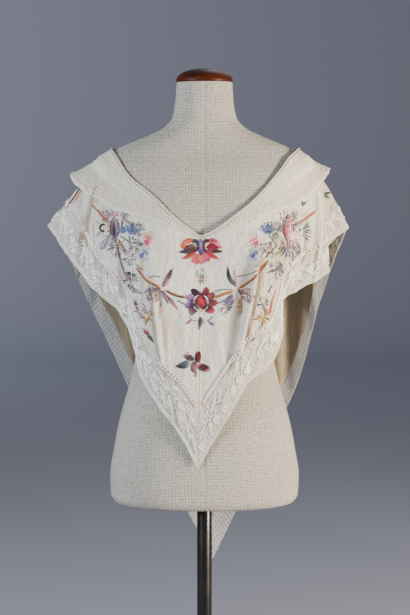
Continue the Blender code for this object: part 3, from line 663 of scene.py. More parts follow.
class DressForm:
    """The limbless linen form: its skin, the guide that cloth is kept clear of, and its neck cap."""

    squareness = 2.25
    bust_rise, bust_half_spacing, bust_height = 0.020, 0.078, 0.862
    bust_spread_x, bust_spread_z = 0.052, 0.062
    guide_rows, guide_columns = 90, 97
    rows, columns, sharp_angle = 170, 161, 50
    seam_depth, seam_half_width = 0.0007, 0.0016
    seam_columns = (0.004, 0.008, 0.014, 0.024)
    cap_radius, cap_rise, neck_top, cap_gap = 0.0495, 0.024, 1.160, 0.0003
    cap_lip, cap_foot_scale, cap_fullness, cap_widest = 0.003, 0.986, 0.12, 1.25
    pin_radius, pin_place = 0.0013, (0.0005, -0.1065, 0.4345)

    def skin(self, heights: Array, angles: Array) -> Array:
        """Points of the form's skin.

        Args:
            heights: Heights of the rows.
            angles: Angles of the columns: 0 is at +X, and a quarter turn on is the back.

        Returns:
            A row of points for each height.
        """
        known = np.array(FORM_RINGS)
        half, front, back = (steady_curve(known[:, 0], known[:, column], heights)[:, None]
                             for column in (1, 2, 3))
        cosine, sine = np.cos(angles)[None, :], np.sin(angles)[None, :]
        power = 2 / self.squareness
        x = half * np.sign(cosine) * np.abs(cosine) ** power
        lean = np.abs(sine) ** power
        y = np.where(sine > 0, back, -front) * lean
        across = (np.abs(x) - self.bust_half_spacing) / self.bust_spread_x
        up = (heights[:, None] - self.bust_height) / self.bust_spread_z
        y = y - np.where(sine < 0, self.bust_rise * lean * np.exp(-(across**2) - up**2), 0.0)
        return np.stack([x, y, np.broadcast_to(heights[:, None], x.shape)], axis=2)

    def levels(self, count: int) -> Array:
        """Heights up the form, closer together where its outline turns quickly."""
        heights = [ring.height for ring in FORM_RINGS]
        return np.interp(np.linspace(0, len(heights) - 1, count), range(len(heights)), heights)

    def guide(self) -> BVHTree:
        """A fine tree of the form's skin."""
        points = self.skin(self.levels(self.guide_rows), np.linspace(0, 2 * math.pi, self.guide_columns))
        faces = [tuple(reversed(face)) for face in grid_faces(self.guide_rows, self.guide_columns)]
        return BVHTree.FromPolygons([tuple(p) for p in points.reshape(-1, 3)], faces)

    def seamed(self, heights: Array, angles: Array) -> Array:
        """Points of the skin, as skin gives them, with the groove of the front seam."""
        points = self.skin(heights, angles)
        rings = unit(np.diff(points, axis=1, append=points[:, :1]))
        outwards = np.stack([rings[..., 1], -rings[..., 0], np.zeros(rings.shape[:2])], axis=2)
        groove = np.exp(-((points[..., 0] / self.seam_half_width) ** 2)) * (points[..., 1] < 0)
        return points - outwards * (groove * self.seam_depth)[..., None]

    def build(self, finishes: Finishes) -> list[bpy.types.Object]:
        """The linen torso, the turned cap on its neck and the pin in its seam."""
        return [self.build_torso(finishes), self.build_cap(finishes), self.build_pin(finishes)]

    def build_torso(self, finishes: Finishes) -> bpy.types.Object:
        """The linen torso with its front seam, closed at its foot and its neck."""
        even = np.linspace(-1.5 * math.pi, 0.5 * math.pi, self.columns)
        close = [-0.5 * math.pi + side * turn for side in (-1, 1) for turn in self.seam_columns]
        angles = np.unique(np.concatenate([even, close]))
        heights = self.levels(self.rows)
        points = self.seamed(heights, angles)
        widths = np.linalg.norm(np.diff(points, axis=1), axis=2)
        around = np.concatenate([np.zeros((len(heights), 1)), np.cumsum(widths, axis=1)], axis=1)
        front = int(np.argmin(np.abs(angles + 0.5 * math.pi)))
        around -= around[:, front:front + 1]
        up = travelled(points[:, front])
        uv = np.stack([around, np.broadcast_to(up[:, None], around.shape)], axis=2)
        count = len(angles)
        faces = [tuple(reversed(face)) for face in grid_faces(len(heights), count)]
        foot, top = len(heights) * count, (len(heights) - 1) * count
        faces += [(foot, column, column + 1) for column in range(count - 1)]
        faces += [(foot + 1, top + column + 1, top + column) for column in range(count - 1)]
        ends = [(0.0, 0.0, FORM_RINGS[0].height), (0.0, 0.0, FORM_RINGS[-1].height)]
        torso = new_piece("linen_torso", [*points.reshape(-1, 3), *ends], faces, finishes.linen)
        set_uv(torso.data, np.concatenate([uv.reshape(-1, 2), [(0, 0), (0, up[-1])]]))
        merge_points(torso.data, doubles=0.00002, outwards=False)
        torso.data.shade_smooth()
        torso.data.set_sharp_from_angle(angle=math.radians(self.sharp_angle))
        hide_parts("form_torso")
        return torso

    def build_cap(self, finishes: Finishes) -> bpy.types.Object:
        """The mahogany cap: a ball cut at its middle, flattened and given a lip."""
        foot = self.neck_top + self.cap_gap
        cut = (0, 0, foot + self.cap_lip)
        bpy.ops.mesh.primitive_uv_sphere_add(segments=72, ring_count=36, radius=self.cap_radius, location=cut)
        cap = bpy.context.active_object
        bpy.ops.object.transform_apply(location=True, rotation=True, scale=True)
        bpy.ops.object.mode_set(mode="EDIT")
        bpy.ops.mesh.select_all(action="SELECT")
        bpy.ops.mesh.bisect(plane_co=cut, plane_no=(0, 0, 1), clear_inner=True)
        bpy.ops.mesh.select_all(action="SELECT")
        rise = self.cap_rise - self.cap_lip
        bpy.ops.transform.resize(value=(1, 1, rise / self.cap_radius), center_override=cut)
        bpy.ops.mesh.select_all(action="DESELECT")
        bpy.ops.object.mode_set(mode="OBJECT")
        for edge in cap.data.edges:
            edge.select = all(cap.data.vertices[v].co.z < cut[2] + 0.00001 for v in edge.vertices)
        bpy.ops.object.mode_set(mode="EDIT")
        bpy.ops.mesh.extrude_region_move(TRANSFORM_OT_translate={"value": (0, 0, -self.cap_lip)})
        bpy.ops.transform.resize(value=(self.cap_foot_scale, self.cap_foot_scale, 1),
                                 center_override=(0, 0, foot))
        bpy.ops.mesh.edge_face_add()
        bpy.ops.object.mode_set(mode="OBJECT")
        points = np.array([v.co for v in cap.data.vertices])
        share = np.clip((points[:, 2] - foot - self.cap_lip) / rise, 0, 1)
        fuller = np.sqrt(np.maximum(1 - share**2, 1e-9)) ** -self.cap_fullness
        factors = np.minimum(np.where(share > 0, fuller, 1.0), self.cap_widest)
        for vertex, point, factor in zip(cap.data.vertices, points, factors):
            vertex.co = (point[0] * factor, point[1] * factor, point[2])
        finish_solid(cap, "neck_cap_turned", finishes.mahogany, "neck_cap", 0.0006)
        return cap

    def build_pin(self, finishes: Finishes) -> bpy.types.Object:
        """The small dark pin head low on the form's front seam."""
        bpy.ops.mesh.primitive_uv_sphere_add(segments=16, ring_count=8, radius=self.pin_radius,
                                             location=self.pin_place)
        pin = bpy.context.active_object
        finish_solid(pin, "seam_pin", finishes.black_metal, None, 0)
        return pin


def finish_solid(piece: bpy.types.Object, name: str, material: bpy.types.Material, node: str | None,
                 bevel: float) -> None:
    """Names a modelled piece, puts its place in its mesh, eases its edges and dresses it.

    Args:
        piece: The object, as its modelling left it.
        name: Its name in the model.
        material: Its finish.
        node: The solid that it replaces, if any.
        bevel: Width of the eased edges, or 0 for none.
    """
    bpy.ops.object.select_all(action="DESELECT")
    piece.select_set(True)
    bpy.context.view_layer.objects.active = piece
    bpy.ops.object.transform_apply(location=True, rotation=True, scale=True)
    piece.name = piece.data.name = name
    if bevel:
        eased = piece.modifiers.new("eased", "BEVEL")
        eased.width = bevel
        eased.segments = 3
        eased.limit_method = "ANGLE"
        eased.angle_limit = math.radians(40)
        bpy.ops.object.modifier_apply(modifier=eased.name)
    bpy.ops.object.mode_set(mode="EDIT")
    bpy.ops.mesh.select_all(action="SELECT")
    bpy.ops.mesh.remove_doubles(threshold=0.00001)
    bpy.ops.mesh.normals_make_consistent(inside=False)
    bpy.ops.object.mode_set(mode="OBJECT")
    bpy.ops.object.shade_smooth_by_angle(angle=math.radians(35))
    piece.data.materials.clear()
    piece.data.materials.append(material)
    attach(piece, BODY)
    if node:
        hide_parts(node)


@dataclass
class Stand:
    """The black metal stand: a round base, a hub, the pole and the ferrule under the form."""

    base_radius: float = 0.170
    base_thickness: float = 0.010
    base_insets: Triple = (0.012, 0.060, 0.050)
    hub_radius: float = 0.030
    hub_height: float = 0.034
    hub_taper_height: float = 0.012
    hub_taper: float = 0.62
    pole_radius: float = 0.0132
    ferrule_radius: float = 0.0150
    ferrule_length: float = 0.010
    form_bottom: float = 0.420
    gap: float = 0.0003

    def drum(self, radius: float, low: float, high: float, sides: int) -> bpy.types.Object:
        """A capped cylinder between two heights, left in edit mode with its top selected."""
        bpy.ops.object.select_all(action="DESELECT")
        bpy.ops.mesh.primitive_cylinder_add(vertices=sides, radius=radius, depth=high - low,
                                            location=(0, 0, (low + high) / 2))
        piece = bpy.context.active_object
        bpy.ops.object.transform_apply(location=True, rotation=True, scale=True)
        bpy.ops.object.mode_set(mode="EDIT")
        bpy.ops.mesh.select_all(action="DESELECT")
        bpy.ops.object.mode_set(mode="OBJECT")
        for face in piece.data.polygons:
            face.select = face.normal.z > 0.9
        bpy.ops.object.mode_set(mode="EDIT")
        return piece

    def build(self, finishes: Finishes) -> list[bpy.types.Object]:
        """Base, hub, pole and ferrule, each resting on the one below."""

        def dress(piece: bpy.types.Object, name: str, node: str, bevel: float) -> None:
            """Leaves edit mode and dresses a part of the stand."""
            bpy.ops.object.mode_set(mode="OBJECT")
            finish_solid(piece, name, finishes.black_metal, node, bevel)

        base = self.drum(self.base_radius, 0, self.base_thickness, 128)
        for inset in self.base_insets:
            bpy.ops.mesh.inset(thickness=inset)
        dress(base, "round_base", "stand_base", 0.003)
        hub_low = self.base_thickness + self.gap
        hub_high = hub_low + self.hub_height
        hub = self.drum(self.hub_radius, hub_low, hub_high - self.hub_taper_height, 96)
        bpy.ops.mesh.extrude_region_move(TRANSFORM_OT_translate={"value": (0, 0, self.hub_taper_height)})
        bpy.ops.transform.resize(value=(self.hub_taper, self.hub_taper, 1), center_override=(0, 0, hub_high))
        dress(hub, "pole_hub", "stand_hub", 0.002)
        ferrule_high = self.form_bottom - self.gap
        ferrule_low = ferrule_high - self.ferrule_length
        pole = self.drum(self.pole_radius, hub_high + self.gap, ferrule_low - self.gap, 64)
        dress(pole, "stand_pole", "pole", 0.0006)
        ferrule = self.drum(self.ferrule_radius, ferrule_low, ferrule_high, 64)
        dress(ferrule, "form_ferrule", "pole_ferrule", 0.0012)
        return [base, hub, pole, ferrule]


class CapeSurface:
    """The cape's surface as a fine grid: points and outward normals by section and share of the length."""

    sections = 28
    back_centre = 13
    columns_per_section = 24
    steps = 104
    form_gap, form_reach, softness = 0.0013, 0.02, 0.0022
    fold_end, bowed = 0.12, 0.020
    ripple, ripple_scales = 0.0021, ((26, 15, 0, 0.70), (85, 50, 9, 0.30))
    # Painted shade: in hollows, along the steep side of sharp folds, and on the lower sides and tip of the back
    soil_reach, soil_depth, most_soil = 10, 0.0026, 0.85
    steepest, dust_width = 0.0038, 0.0052
    side_soil, side_sections, side_spread = 0.55, 2.8, 1.3
    tip_soil, tip_start = 0.8, 0.8
    scallop, scallop_pitch, scallop_roundness = 0.0022, 0.045, 0.6

    def __init__(self, form: DressForm) -> None:
        """Drapes the cloth over the form, folds it, and works out its lengths and its painted shade."""
        self.guide = form.guide()
        self.at = np.arange(self.sections * self.columns_per_section + 1) / self.columns_per_section
        smooth = self.draped(self.at)
        normals = self.outward(smooth)
        rise, dust = self.fold_rise(smooth, (*MAIN_FOLDS, *FINE_FOLDS))
        # Painted shade, kept for the cloth's colour: darker in hollows, beside steep fold sides, and on the
        # back's sides and tip
        self.soil = np.clip(self.hollows(rise) + dust + self.worn_sides(), 0, self.most_soil)
        folded = smooth + normals * (rise + self.crumple(smooth))[..., None]
        points = self.clear_of_form(folded)
        normals = self.outward(points)
        steps = np.linalg.norm(np.diff(points, axis=1), axis=2)
        along = np.concatenate([np.zeros((len(points), 1)), np.cumsum(steps, axis=1)], axis=1)
        self.length = along[:, -1]
        self.points = self.evened(along, points)
        self.normals = unit(self.evened(along, normals))
        self.trims = self.ring(TRIMS, self.at)
        run = travelled(self.points[:, -1])
        wave = np.abs(np.sin(math.pi * run / self.scallop_pitch)) ** self.scallop_roundness
        self.hem_length = self.length - self.scallop * (1 - wave)

    def evened(self, along: Array, values: Array) -> Array:
        """Values at even shares of each column's length, from the lengths where they are known."""
        shares = np.linspace(0, 1, self.steps + 1)
        return np.stack([np.stack([np.interp(shares * reach[-1], reach, column[:, axis])
                                   for axis in range(3)], axis=1) for reach, column in zip(along, values)])

    def ring(self, rows: Sequence, at: Array, corners: Sequence[int] = ()) -> Array:
        """Columns of a table of ring sections at places round the ring, sharp at the corners.

        Args:
            rows: The table, whose first column is the section.
            at: Places round the ring.
            corners: Sections where the values turn sharply.

        Returns:
            A row of values for each place.
        """
        at = np.mod(at, self.sections)
        table = np.array(rows)
        places = np.concatenate([table[:, 0] + turn * self.sections for turn in (-1, 0, 1)])
        values = np.tile(table[:, 1:], (3, 1))
        ends = [*corners, self.sections] if corners else [-self.sections, 2 * self.sections]
        found = np.zeros((len(at), values.shape[1]))
        for start, end in zip(ends, ends[1:]):
            known, asked = (places >= start) & (places <= end), (at >= start) & (at <= end)
            for column in range(values.shape[1]):
                found[asked, column] = steady_curve(places[known], values[known, column], at[asked])
        return found

    def clear_of_form(self, points: Array) -> Array:
        """The points, with those near or inside the form moved out until they just clear its skin."""
        moved = points.reshape(-1, 3).copy()
        for index, point in enumerate(moved):
            nearest, normal, _, distance = self.guide.find_nearest(Vector(point))
            height = (Vector(point) - nearest).dot(normal)
            if (distance > self.form_reach and height > 0) or height >= self.form_gap + 2 * self.softness:
                continue
            most = 0.5 * (height + self.form_gap + math.hypot(height - self.form_gap, self.softness))
            moved[index] = point + np.array(normal) * (most - height)
        return moved.reshape(points.shape)

    def draped(self, at: Array) -> Array:
        """Curves from the neckline over the crest to the hem, laid over the form, a row for each place."""
        at = np.asarray(at, float)
        neck, crest = self.ring(NECKLINE, at), self.ring(CREST, at)
        hem = self.ring(HEM, at, (0, self.back_centre))
        steps = np.linspace(0, 1, self.steps + 1)
        curves = np.zeros((len(at), self.steps + 1, 3))
        for index, ends in enumerate(zip(neck, crest, hem)):
            upper, lower = (np.linalg.norm(b - a) for a, b in zip(ends, ends[1:]))
            shares = (0, upper / (upper + lower), 1)
            for axis in range(3):
                curves[index, :, axis] = steady_curve(shares, [end[axis] for end in ends], steps)
        return self.clear_of_form(curves)

    @staticmethod
    def outward(points: Array) -> Array:
        """Unit normals that point away from the form, from neighbouring columns of the closed ring."""
        ring = np.concatenate([points[-2:-1], points, points[1:2]])
        across = ring[2:] - ring[:-2]
        return unit(np.cross(across, np.gradient(points, axis=1)))

    def fold_rise(self, points: Array, folds: Sequence[Fold]) -> tuple[Array, Array]:
        """What the folds add to the smooth cloth.

        Args:
            points: Points of the smooth cloth.
            folds: The folds.

        Returns:
            How far they lift each point, and the painted shade beside their steep sides.
        """
        rise, dust = np.zeros(points.shape[:2]), np.zeros(points.shape[:2])
        normals = self.outward(points)
        for fold in folds:
            ends = self.draped([fold.top_section, fold.foot_section])
            top = ends[0, round(fold.top_along * self.steps)]
            run = ends[1, round(fold.foot_along * self.steps)] - top
            along = np.clip(((points - top) @ run) / (run @ run), 0, 1)
            away = points - top - along[..., None] * run
            side = np.sum(away * np.cross(run, normals), axis=2) > 0
            narrow = side if fold.sharp > 0 else ~side
            width = np.where(narrow, fold.half_width * (1 - abs(fold.sharp)), fold.half_width)
            taper = np.sqrt(np.sin(math.pi * (self.fold_end + (1 - 2 * self.fold_end) * along)))
            lifted = np.sum(away * normals, axis=2)
            beyond = np.maximum(np.abs(lifted) - self.bowed, 0)
            distance = np.hypot(np.linalg.norm(away - lifted[..., None] * normals, axis=2), beyond)
            rise += fold.rise * taper * np.exp(-((distance / width) ** 2))
            # Painted shade along the narrow, steep side of a sharp fold
            steep = narrow * abs(fold.sharp * fold.rise) / self.steepest
            dust += steep * taper * np.exp(-((distance / self.dust_width) ** 2))
        return rise, dust

    def hollows(self, rise: Array) -> Array:
        """Painted shade at each place: most where the cloth is lower than what is beside it."""
        reach = self.soil_reach
        round_it = np.concatenate([rise[-1 - reach:-1], rise, rise[1:1 + reach]])
        beside = sum(round_it[k:k + len(rise)] for k in range(2 * reach + 1)) / (2 * reach + 1)
        return np.clip((beside - rise) / self.soil_depth, 0, 1)

    def worn_sides(self) -> Array:
        """Painted shade on the lower sides and the tip of the back, where the shoulders and the form shade it.
        """
        from_centre, share = self.at - self.back_centre, np.linspace(0, 1, self.steps + 1)
        beside = (np.abs(from_centre) - self.side_sections) / self.side_spread
        lower = np.clip((share - 0.30) / 0.25, 0, 1)
        tip = np.exp(-(from_centre**2))[:, None] * (np.arange(self.steps + 1) > self.tip_start * self.steps)
        return self.side_soil * (np.exp(-(beside**2))[:, None] * lower[None, :] + self.tip_soil * tip)

    def crumple(self, points: Array) -> Array:
        """Small soft unevenness of worn cloth."""
        flat = points.reshape(-1, 3)
        uneven = [share * np.array([noise.noise(Vector((x * across + shift, y * across, z * up)))
                                    for x, y, z in flat]) for across, up, shift, share in self.ripple_scales]
        return np.maximum(self.ripple * (sum(uneven) + 0.4), 0).reshape(points.shape[:2])

    def read(self, values: Array, at: Array) -> Array:
        """Values of the columns at places between them."""
        return np.interp(np.mod(at, self.sections), self.at, values)

    def lengths(self, at: Array) -> Array:
        """Length of the cloth from neckline to hem at each place."""
        return self.read(self.length, np.asarray(at, float))

    def hem(self, at: Array) -> Array:
        """Length of the cloth from the neckline to its scalloped hem at each place."""
        return self.read(self.hem_length, np.asarray(at, float))

    def trim(self, name: str, at: Array) -> Array:
        """A width of the trims table at each place: collar, standoff or edging."""
        return self.read(self.trims[:, TrimWidth._fields.index(name) - 1], np.asarray(at, float))

    def seam(self, at: Array) -> Array:
        """Distance from the neckline of the edging's upper edge at each place."""
        return self.lengths(at) - self.trim("edging", at)

    def dust(self, at: Array, distance: Array) -> Array:
        """Painted shade at places and distances from the neckline, from 0 to 1."""
        column = np.mod(at, self.sections) * self.columns_per_section
        step = np.clip(distance / self.lengths(at), 0, 1) * self.steps
        return self.soil[np.rint(column).astype(int), np.rint(step).astype(int)]

    def place(self, at: Array, distance: Array, height: Array | float) -> tuple[Array, Array]:
        """Points at distances from the neckline and heights off the cloth's inner side.

        Args:
            at: Places round the ring.
            distance: Distances from the neckline at those places.
            height: Heights off the inner side.

        Returns:
            The points and their outward normals.
        """
        at = np.mod(np.asarray(at, float), self.sections)
        column = at * self.columns_per_section
        first = np.clip(np.floor(column).astype(int), 0, len(self.at) - 2)
        across = (column - first)[..., None]
        step = np.clip(np.asarray(distance, float) / self.lengths(at), 0, 1) * self.steps
        upper = np.clip(np.floor(step).astype(int), 0, self.steps - 1)
        down = (step - upper)[..., None]
        found = []
        for values in (self.points, self.normals):
            left, right = (values[side, upper] * (1 - down) + values[side, upper + 1] * down
                           for side in (first, first + 1))
            found.append(left * (1 - across) + right * across)
        normals = unit(found[1])
        return found[0] + normals * np.asarray(height, float)[..., None], normals


@dataclass
class Weaver:
    """Makes the cloth pieces as thin sheets on the cape's surface."""

    cape: CapeSurface
    finishes: Finishes
    layer_gap: float = 0.0009
    middle: float = 0.0006
    thickness: float = 0.00035
    cloth_start: float = 0.0024
    insertion_width: float = 0.008
    seam_turn: float = 0.002
    left_shoulder: float = 8.2
    right_shoulder: float = 19.5
    left_border_end: float = 9.667
    right_border_end: float = 16.667
    centre_turn: float = 0.13
    panel_rows: int = 72
    collar_rows: int = 30
    border_rows: int = 20
    standoff_power: float = 1.45
    standoff_full: float = 0.012
    collar_creases: tuple[Triple, ...] = ((0.0011, 0.24, 1.7), (0.0009, 0.42, 2.3), (0.0010, 0.66, 1.3))
    outer_holes: tuple[Pair, Pair] = ((0.003, 0.002), (0.034, 0.003))
    inner_holes: tuple[Pair, Pair] = ((0.005, 0.002), (0.030, 0.004))
    net_pitch: float = 0.0070
    net_shares: tuple[Pair, Pair] = ((0.91, 0.91), (0.64, 0.43))
    slit_lean: float = 0.34
    roll_radius: float = 0.00145
    roll_height: float = 0.0016
    roll_sides: int = 10
    roll_side: float = 0.0009
    outer: list[tuple[Array, list, bool]] = field(default_factory=list)

    def sheet(self, name: str, at: Array, distance: Array, height: Array, material: bpy.types.Material,
              node: str, slot: str) -> bpy.types.Object:
        """A thin sheet through a grid of places.

        Args:
            name: Name of the piece.
            at: Place of each column round the ring.
            distance: Distances from the neckline, a row for each column.
            height: Heights of the sheet's middle off the cloth's inner side, in the same grid.
            material: Its finish.
            node: The solid that it replaces.
            slot: Its material slot, which only tells whether silk is worked on it.

        Returns:
            The new object.
        """
        places = np.broadcast_to(np.asarray(at)[:, None], distance.shape)
        points, _ = self.cape.place(places, distance, height)
        count, rows = distance.shape
        piece = new_piece(name, points.reshape(-1, 3), grid_faces(count, rows), material)
        widths = np.linalg.norm(np.diff(points, axis=0), axis=2)
        around = np.concatenate([np.zeros((1, rows)), np.cumsum(widths, axis=0)])
        set_uv(piece.data, np.stack([around - around[count // 2], distance], axis=2))
        # Painted shade of the cape's creases and hollows, for the finish to mix into its colour
        mark(piece.data, "dust", self.cape.dust(places, distance))
        self.cover(at, distance, height, slot != "collar_cotton")
        self.thicken(piece)
        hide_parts(node)
        return piece

    def cover(self, at: Array, distance: Array, height: Array | float, workable: bool = True) -> None:
        """Adds a grid of places to the outer face of the cloth, and says whether silk is worked there."""
        places = np.broadcast_to(np.asarray(at)[:, None], distance.shape)
        points, _ = self.cape.place(places, distance, np.broadcast_to(height, distance.shape)
                                    + self.thickness / 2)
        self.outer.append((points, grid_faces(*distance.shape), workable))

    def thicken(self, piece: bpy.types.Object) -> None:
        """Gives a sheet its thickness."""
        wall = piece.modifiers.new("thickness", "SOLIDIFY")
        wall.thickness = self.thickness
        wall.offset = 0

    def spans(self, low: Array | float, high: Array, rows: int) -> Array:
        """Even distances between two limits at each column."""
        return np.asarray(low)[..., None] + (high - low)[:, None] * np.linspace(0, 1, rows)[None, :]

    def columns(self, start: float, end: float, per_section: int = 20) -> Array:
        """Even places between the ends of a piece."""
        return np.linspace(start, end, max(3, round((end - start) * per_section) + 1))

    def panel(self, name: str, start: float, end: float, insertion: bool, node: str) -> bpy.types.Object:
        """A muslin panel from the neckline to its seam.

        Args:
            name: Name of the piece.
            start: Its first place round the ring.
            end: Its last place.
            insertion: True for a front panel, which ends at the openwork.
            node: The solid that it replaces.

        Returns:
            The new object.
        """
        at = self.columns(start, end)
        foot = self.cape.seam(at) - (self.insertion_width if insertion else 0)
        distance = self.spans(self.cloth_start, foot, self.panel_rows)
        piece = self.sheet(name, at, distance, np.full(distance.shape, self.middle),
                           self.finishes.muslin if insertion else self.finishes.back_muslin, node, "muslin")
        # The back's inner side takes a darker copy of its muslin: painted shade
        if not insertion:
            piece.data.materials.append(self.finishes.back_inside)
            piece.modifiers["thickness"].material_offset = 1
        return piece

    def collar(self, name: str, start: float, end: float, node: str) -> bpy.types.Object:
        """A turned-down collar, which lies on its panel at the neckline and stands off it towards its edge.

        Args:
            name: Name of the piece.
            start: Its first place round the ring.
            end: Its last place.
            node: The solid that it replaces.

        Returns:
            The new object.
        """
        at = self.columns(start, end, 16)
        edge = self.cape.trim("collar", at)
        distance = self.spans(self.cloth_start, edge, self.collar_rows)
        part = np.linspace(0, 1, self.collar_rows)[None, :]
        standoff = self.cape.trim("standoff", at)[:, None]
        standoff = standoff * np.clip(standoff / self.standoff_full, 0.2, 1)
        wave = 0.0005 * np.sin(at * 9.0)[:, None] * part**2
        pressed = sum(rise * np.exp(-((part - share - 0.03 * np.sin(at * turns)[:, None]) / 0.025) ** 2)
                      for rise, share, turns in self.collar_creases)
        height = self.layer_gap + self.middle + standoff * part**self.standoff_power + np.abs(wave) + pressed
        piece = self.sheet(name, at, distance, height, self.finishes.collar, node, "collar_cotton")
        openwork = np.maximum(within(edge[:, None] - distance, *self.outer_holes),
                              0.7 * within(distance, *self.inner_holes))
        mark(piece.data, "openwork", openwork)
        return piece

    def border(self, name: str, start: float, end: float, node: str) -> bpy.types.Object:
        """A muslin border from its seam to the hem, between two places, in place of a solid."""
        at = self.columns(start, end, 22)
        distance = self.spans(self.cape.seam(at), self.cape.hem(at), self.border_rows)
        return self.sheet(name, at, distance, np.full(distance.shape, self.middle), self.finishes.border,
                          node, "whitework")

    def net(self, name: str, start: float, end: float, node: str) -> bpy.types.Object:
        """A net edging of six-sided meshes, open between its threads, with a woven dot in each.

        Args:
            name: Name of the piece.
            start: Its first place round the ring.
            end: Its last place.
            node: The solid that it replaces.

        Returns:
            The new object.
        """
        at = self.columns(start, end, 60)
        edging = self.cape.trim("edging", at)
        run = travelled(self.cape.place(at, self.cape.lengths(at) - 0.5 * edging, 0.0)[0])
        pitch, side = self.net_pitch, self.net_pitch / math.sqrt(3)
        rise = pitch * math.sqrt(3) / 2
        faces, uv = [], []
        for row in range(int(edging.max() / rise) + 2):
            for column in range(int(run[-1] / pitch) + 1):
                centre = ((column + 0.5 * (row % 2)) * pitch, row * rise + 0.5 * rise)
                width = float(np.interp(centre[0], run, edging))
                if centre[1] > width or centre[0] > run[-1]:
                    continue
                corners = [(centre[0] + side * math.sin(turn), centre[1] + side * math.cos(turn))
                           for turn in np.arange(6) * math.pi / 3]
                corners = [(min(max(u, 0.0), run[-1]), min(max(v, 0.0), width)) for u, v in corners]
                middle = np.mean(corners, axis=0)
                inner, dot = ([tuple(middle + (np.array(corner) - middle) * share) for corner in corners]
                              for share in self.net_shares)
                first = len(uv)
                uv += corners + inner + dot
                faces += [(first + k, first + (k + 1) % 6, first + 6 + (k + 1) % 6, first + 6 + k)
                          for k in range(6)]
                faces += [tuple(range(first + 12, first + 18))]
        flat = np.array(uv)
        places = np.interp(flat[:, 0], run, at)
        points, _ = self.cape.place(places, self.cape.lengths(places) - flat[:, 1], self.middle)
        piece = new_piece(name, points, faces, self.finishes.net)
        set_uv(piece.data, flat)
        merge_points(piece.data, doubles=0.00005, needles=0.00002)
        piece.data.shade_smooth()
        self.thicken(piece)
        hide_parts(node)
        return piece

    def insertion(self, name: str, at: Array, low: Array, node: str, along_ring: bool = True,
                  pitch: float = 0.0065, slit: float = 0.24) -> bpy.types.Object:
        """A strip of openwork with slanted slits between solid edges.

        Args:
            name: Name of the piece.
            at: Places round the ring along the strip, or the two sides of an upright strip.
            low: Distance from the neckline of its upper edge at each place, or along an upright strip.
            node: The solid that it replaces.
            along_ring: False for an upright strip.
            pitch: Distance between neighbouring slits.
            slit: Share of the pitch that is open.

        Returns:
            The new object.
        """
        edges = (0.0, 0.16, 0.84, 1.0) if along_ring else (0.0, 0.34, 0.66, 1.0)
        # Painted shade on the middle of the strip, between its solid edges, as the shade inside its slits
        dusty = 1.0 if along_ring else 0.2
        width = self.insertion_width
        if along_ring:
            middle, _ = self.cape.place(at, low + width / 2, 0.0)
        else:
            middle, _ = self.cape.place(np.full(len(low), at.mean()), low, 0.0)
        run = travelled(middle)
        cells = max(1, int(run[-1] / pitch))
        stops = [[cell / cells, (cell + 1 - slit) / cells] for cell in range(cells)]
        stops = np.unique(np.concatenate(stops + [[1.0]]) * run[-1])
        grid, uv = [], []
        for stop in stops:
            for share in edges:
                lean = self.slit_lean * pitch * (share - 0.5) if 0 < stop < run[-1] else 0.0
                where = min(max(stop + lean, 0.0), run[-1])
                if along_ring:
                    grid.append((np.interp(where, run, at), np.interp(where, run, low) + share * width))
                else:
                    grid.append((at[0] + (at[1] - at[0]) * share, np.interp(where, run, low)))
                uv.append((where, share * width))
        grid = np.array(grid)
        points, _ = self.cape.place(grid[:, 0], grid[:, 1], self.middle)
        corners = [index * 4 + row for index in range(len(stops) - 1) for row in range(3)
                   if row != 1 or index % 2 == 0]
        faces = [(corner, corner + 4, corner + 5, corner + 1) for corner in corners]
        if not along_ring:
            faces = [tuple(reversed(face)) for face in faces]
        piece = new_piece(name, points, faces, self.finishes.openwork)
        set_uv(piece.data, np.array(uv))
        # Painted shade on the middle rows of the strip
        mark(piece.data, "dust", np.tile((0.0, dusty, dusty, 0.0), len(stops)))
        self.thicken(piece)
        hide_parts(node)
        return piece

    def rolled_edge(self, name: str, start: float, end: float, node: str) -> bpy.types.Object:
        """The rolled neckline edge, a slightly uneven tube on the form.

        Args:
            name: Name of the piece.
            start: Its first place round the ring.
            end: Its last place.
            node: The solid that it replaces.

        Returns:
            The new object.
        """
        at = self.columns(start, end, 30)
        route, normals = self.cape.place(at, np.zeros(len(at)), self.roll_height)
        across = unit(np.cross(unit(np.gradient(route, axis=0)), normals))
        sides = self.roll_sides
        turns = np.arange(sides) * 2 * math.pi / sides
        rings = []
        for centre, up, side in zip(route, normals, across):
            radius = self.roll_radius * (1 + 0.12 * noise.noise(Vector(centre * 120)))
            rings.append([centre + radius * (math.cos(turn) * up + math.sin(turn) * side) for turn in turns])
        points = np.array(rings).reshape(-1, 3)
        faces = [(c * sides + s, c * sides + (s + 1) % sides, (c + 1) * sides + (s + 1) % sides,
                  (c + 1) * sides + s) for c in range(len(at) - 1) for s in range(sides)]
        faces += [tuple(reversed(range(sides))), tuple(range(len(points) - sides, len(points)))]
        piece = new_piece(name, points, faces, self.finishes.collar)
        around = np.tile(np.arange(sides) * self.roll_side, len(at))
        set_uv(piece.data, np.stack([np.repeat(travelled(route), sides), around], axis=1))
        merge_points(piece.data)
        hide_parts(node)
        return piece

    def front_ends(self) -> dict[str, Pair]:
        """The first and last place of each front side, between the centre openwork and the shoulder."""
        t = self.seam_turn
        return {"left": (self.centre_turn + t, self.left_shoulder - t),
                "right": (self.right_shoulder + t, self.cape.sections - self.centre_turn - t)}

    def border_ends(self) -> dict[str, Pair]:
        """The first and last place of each stretch of the worked border."""
        t, whole = self.seam_turn, self.cape.sections
        return {"left": (t, self.left_shoulder - t), "right": (self.right_shoulder + t, whole - t),
                "shoulder_left": (self.left_shoulder + t, self.left_border_end - t),
                "shoulder_right": (self.right_border_end + t, self.right_shoulder - t)}

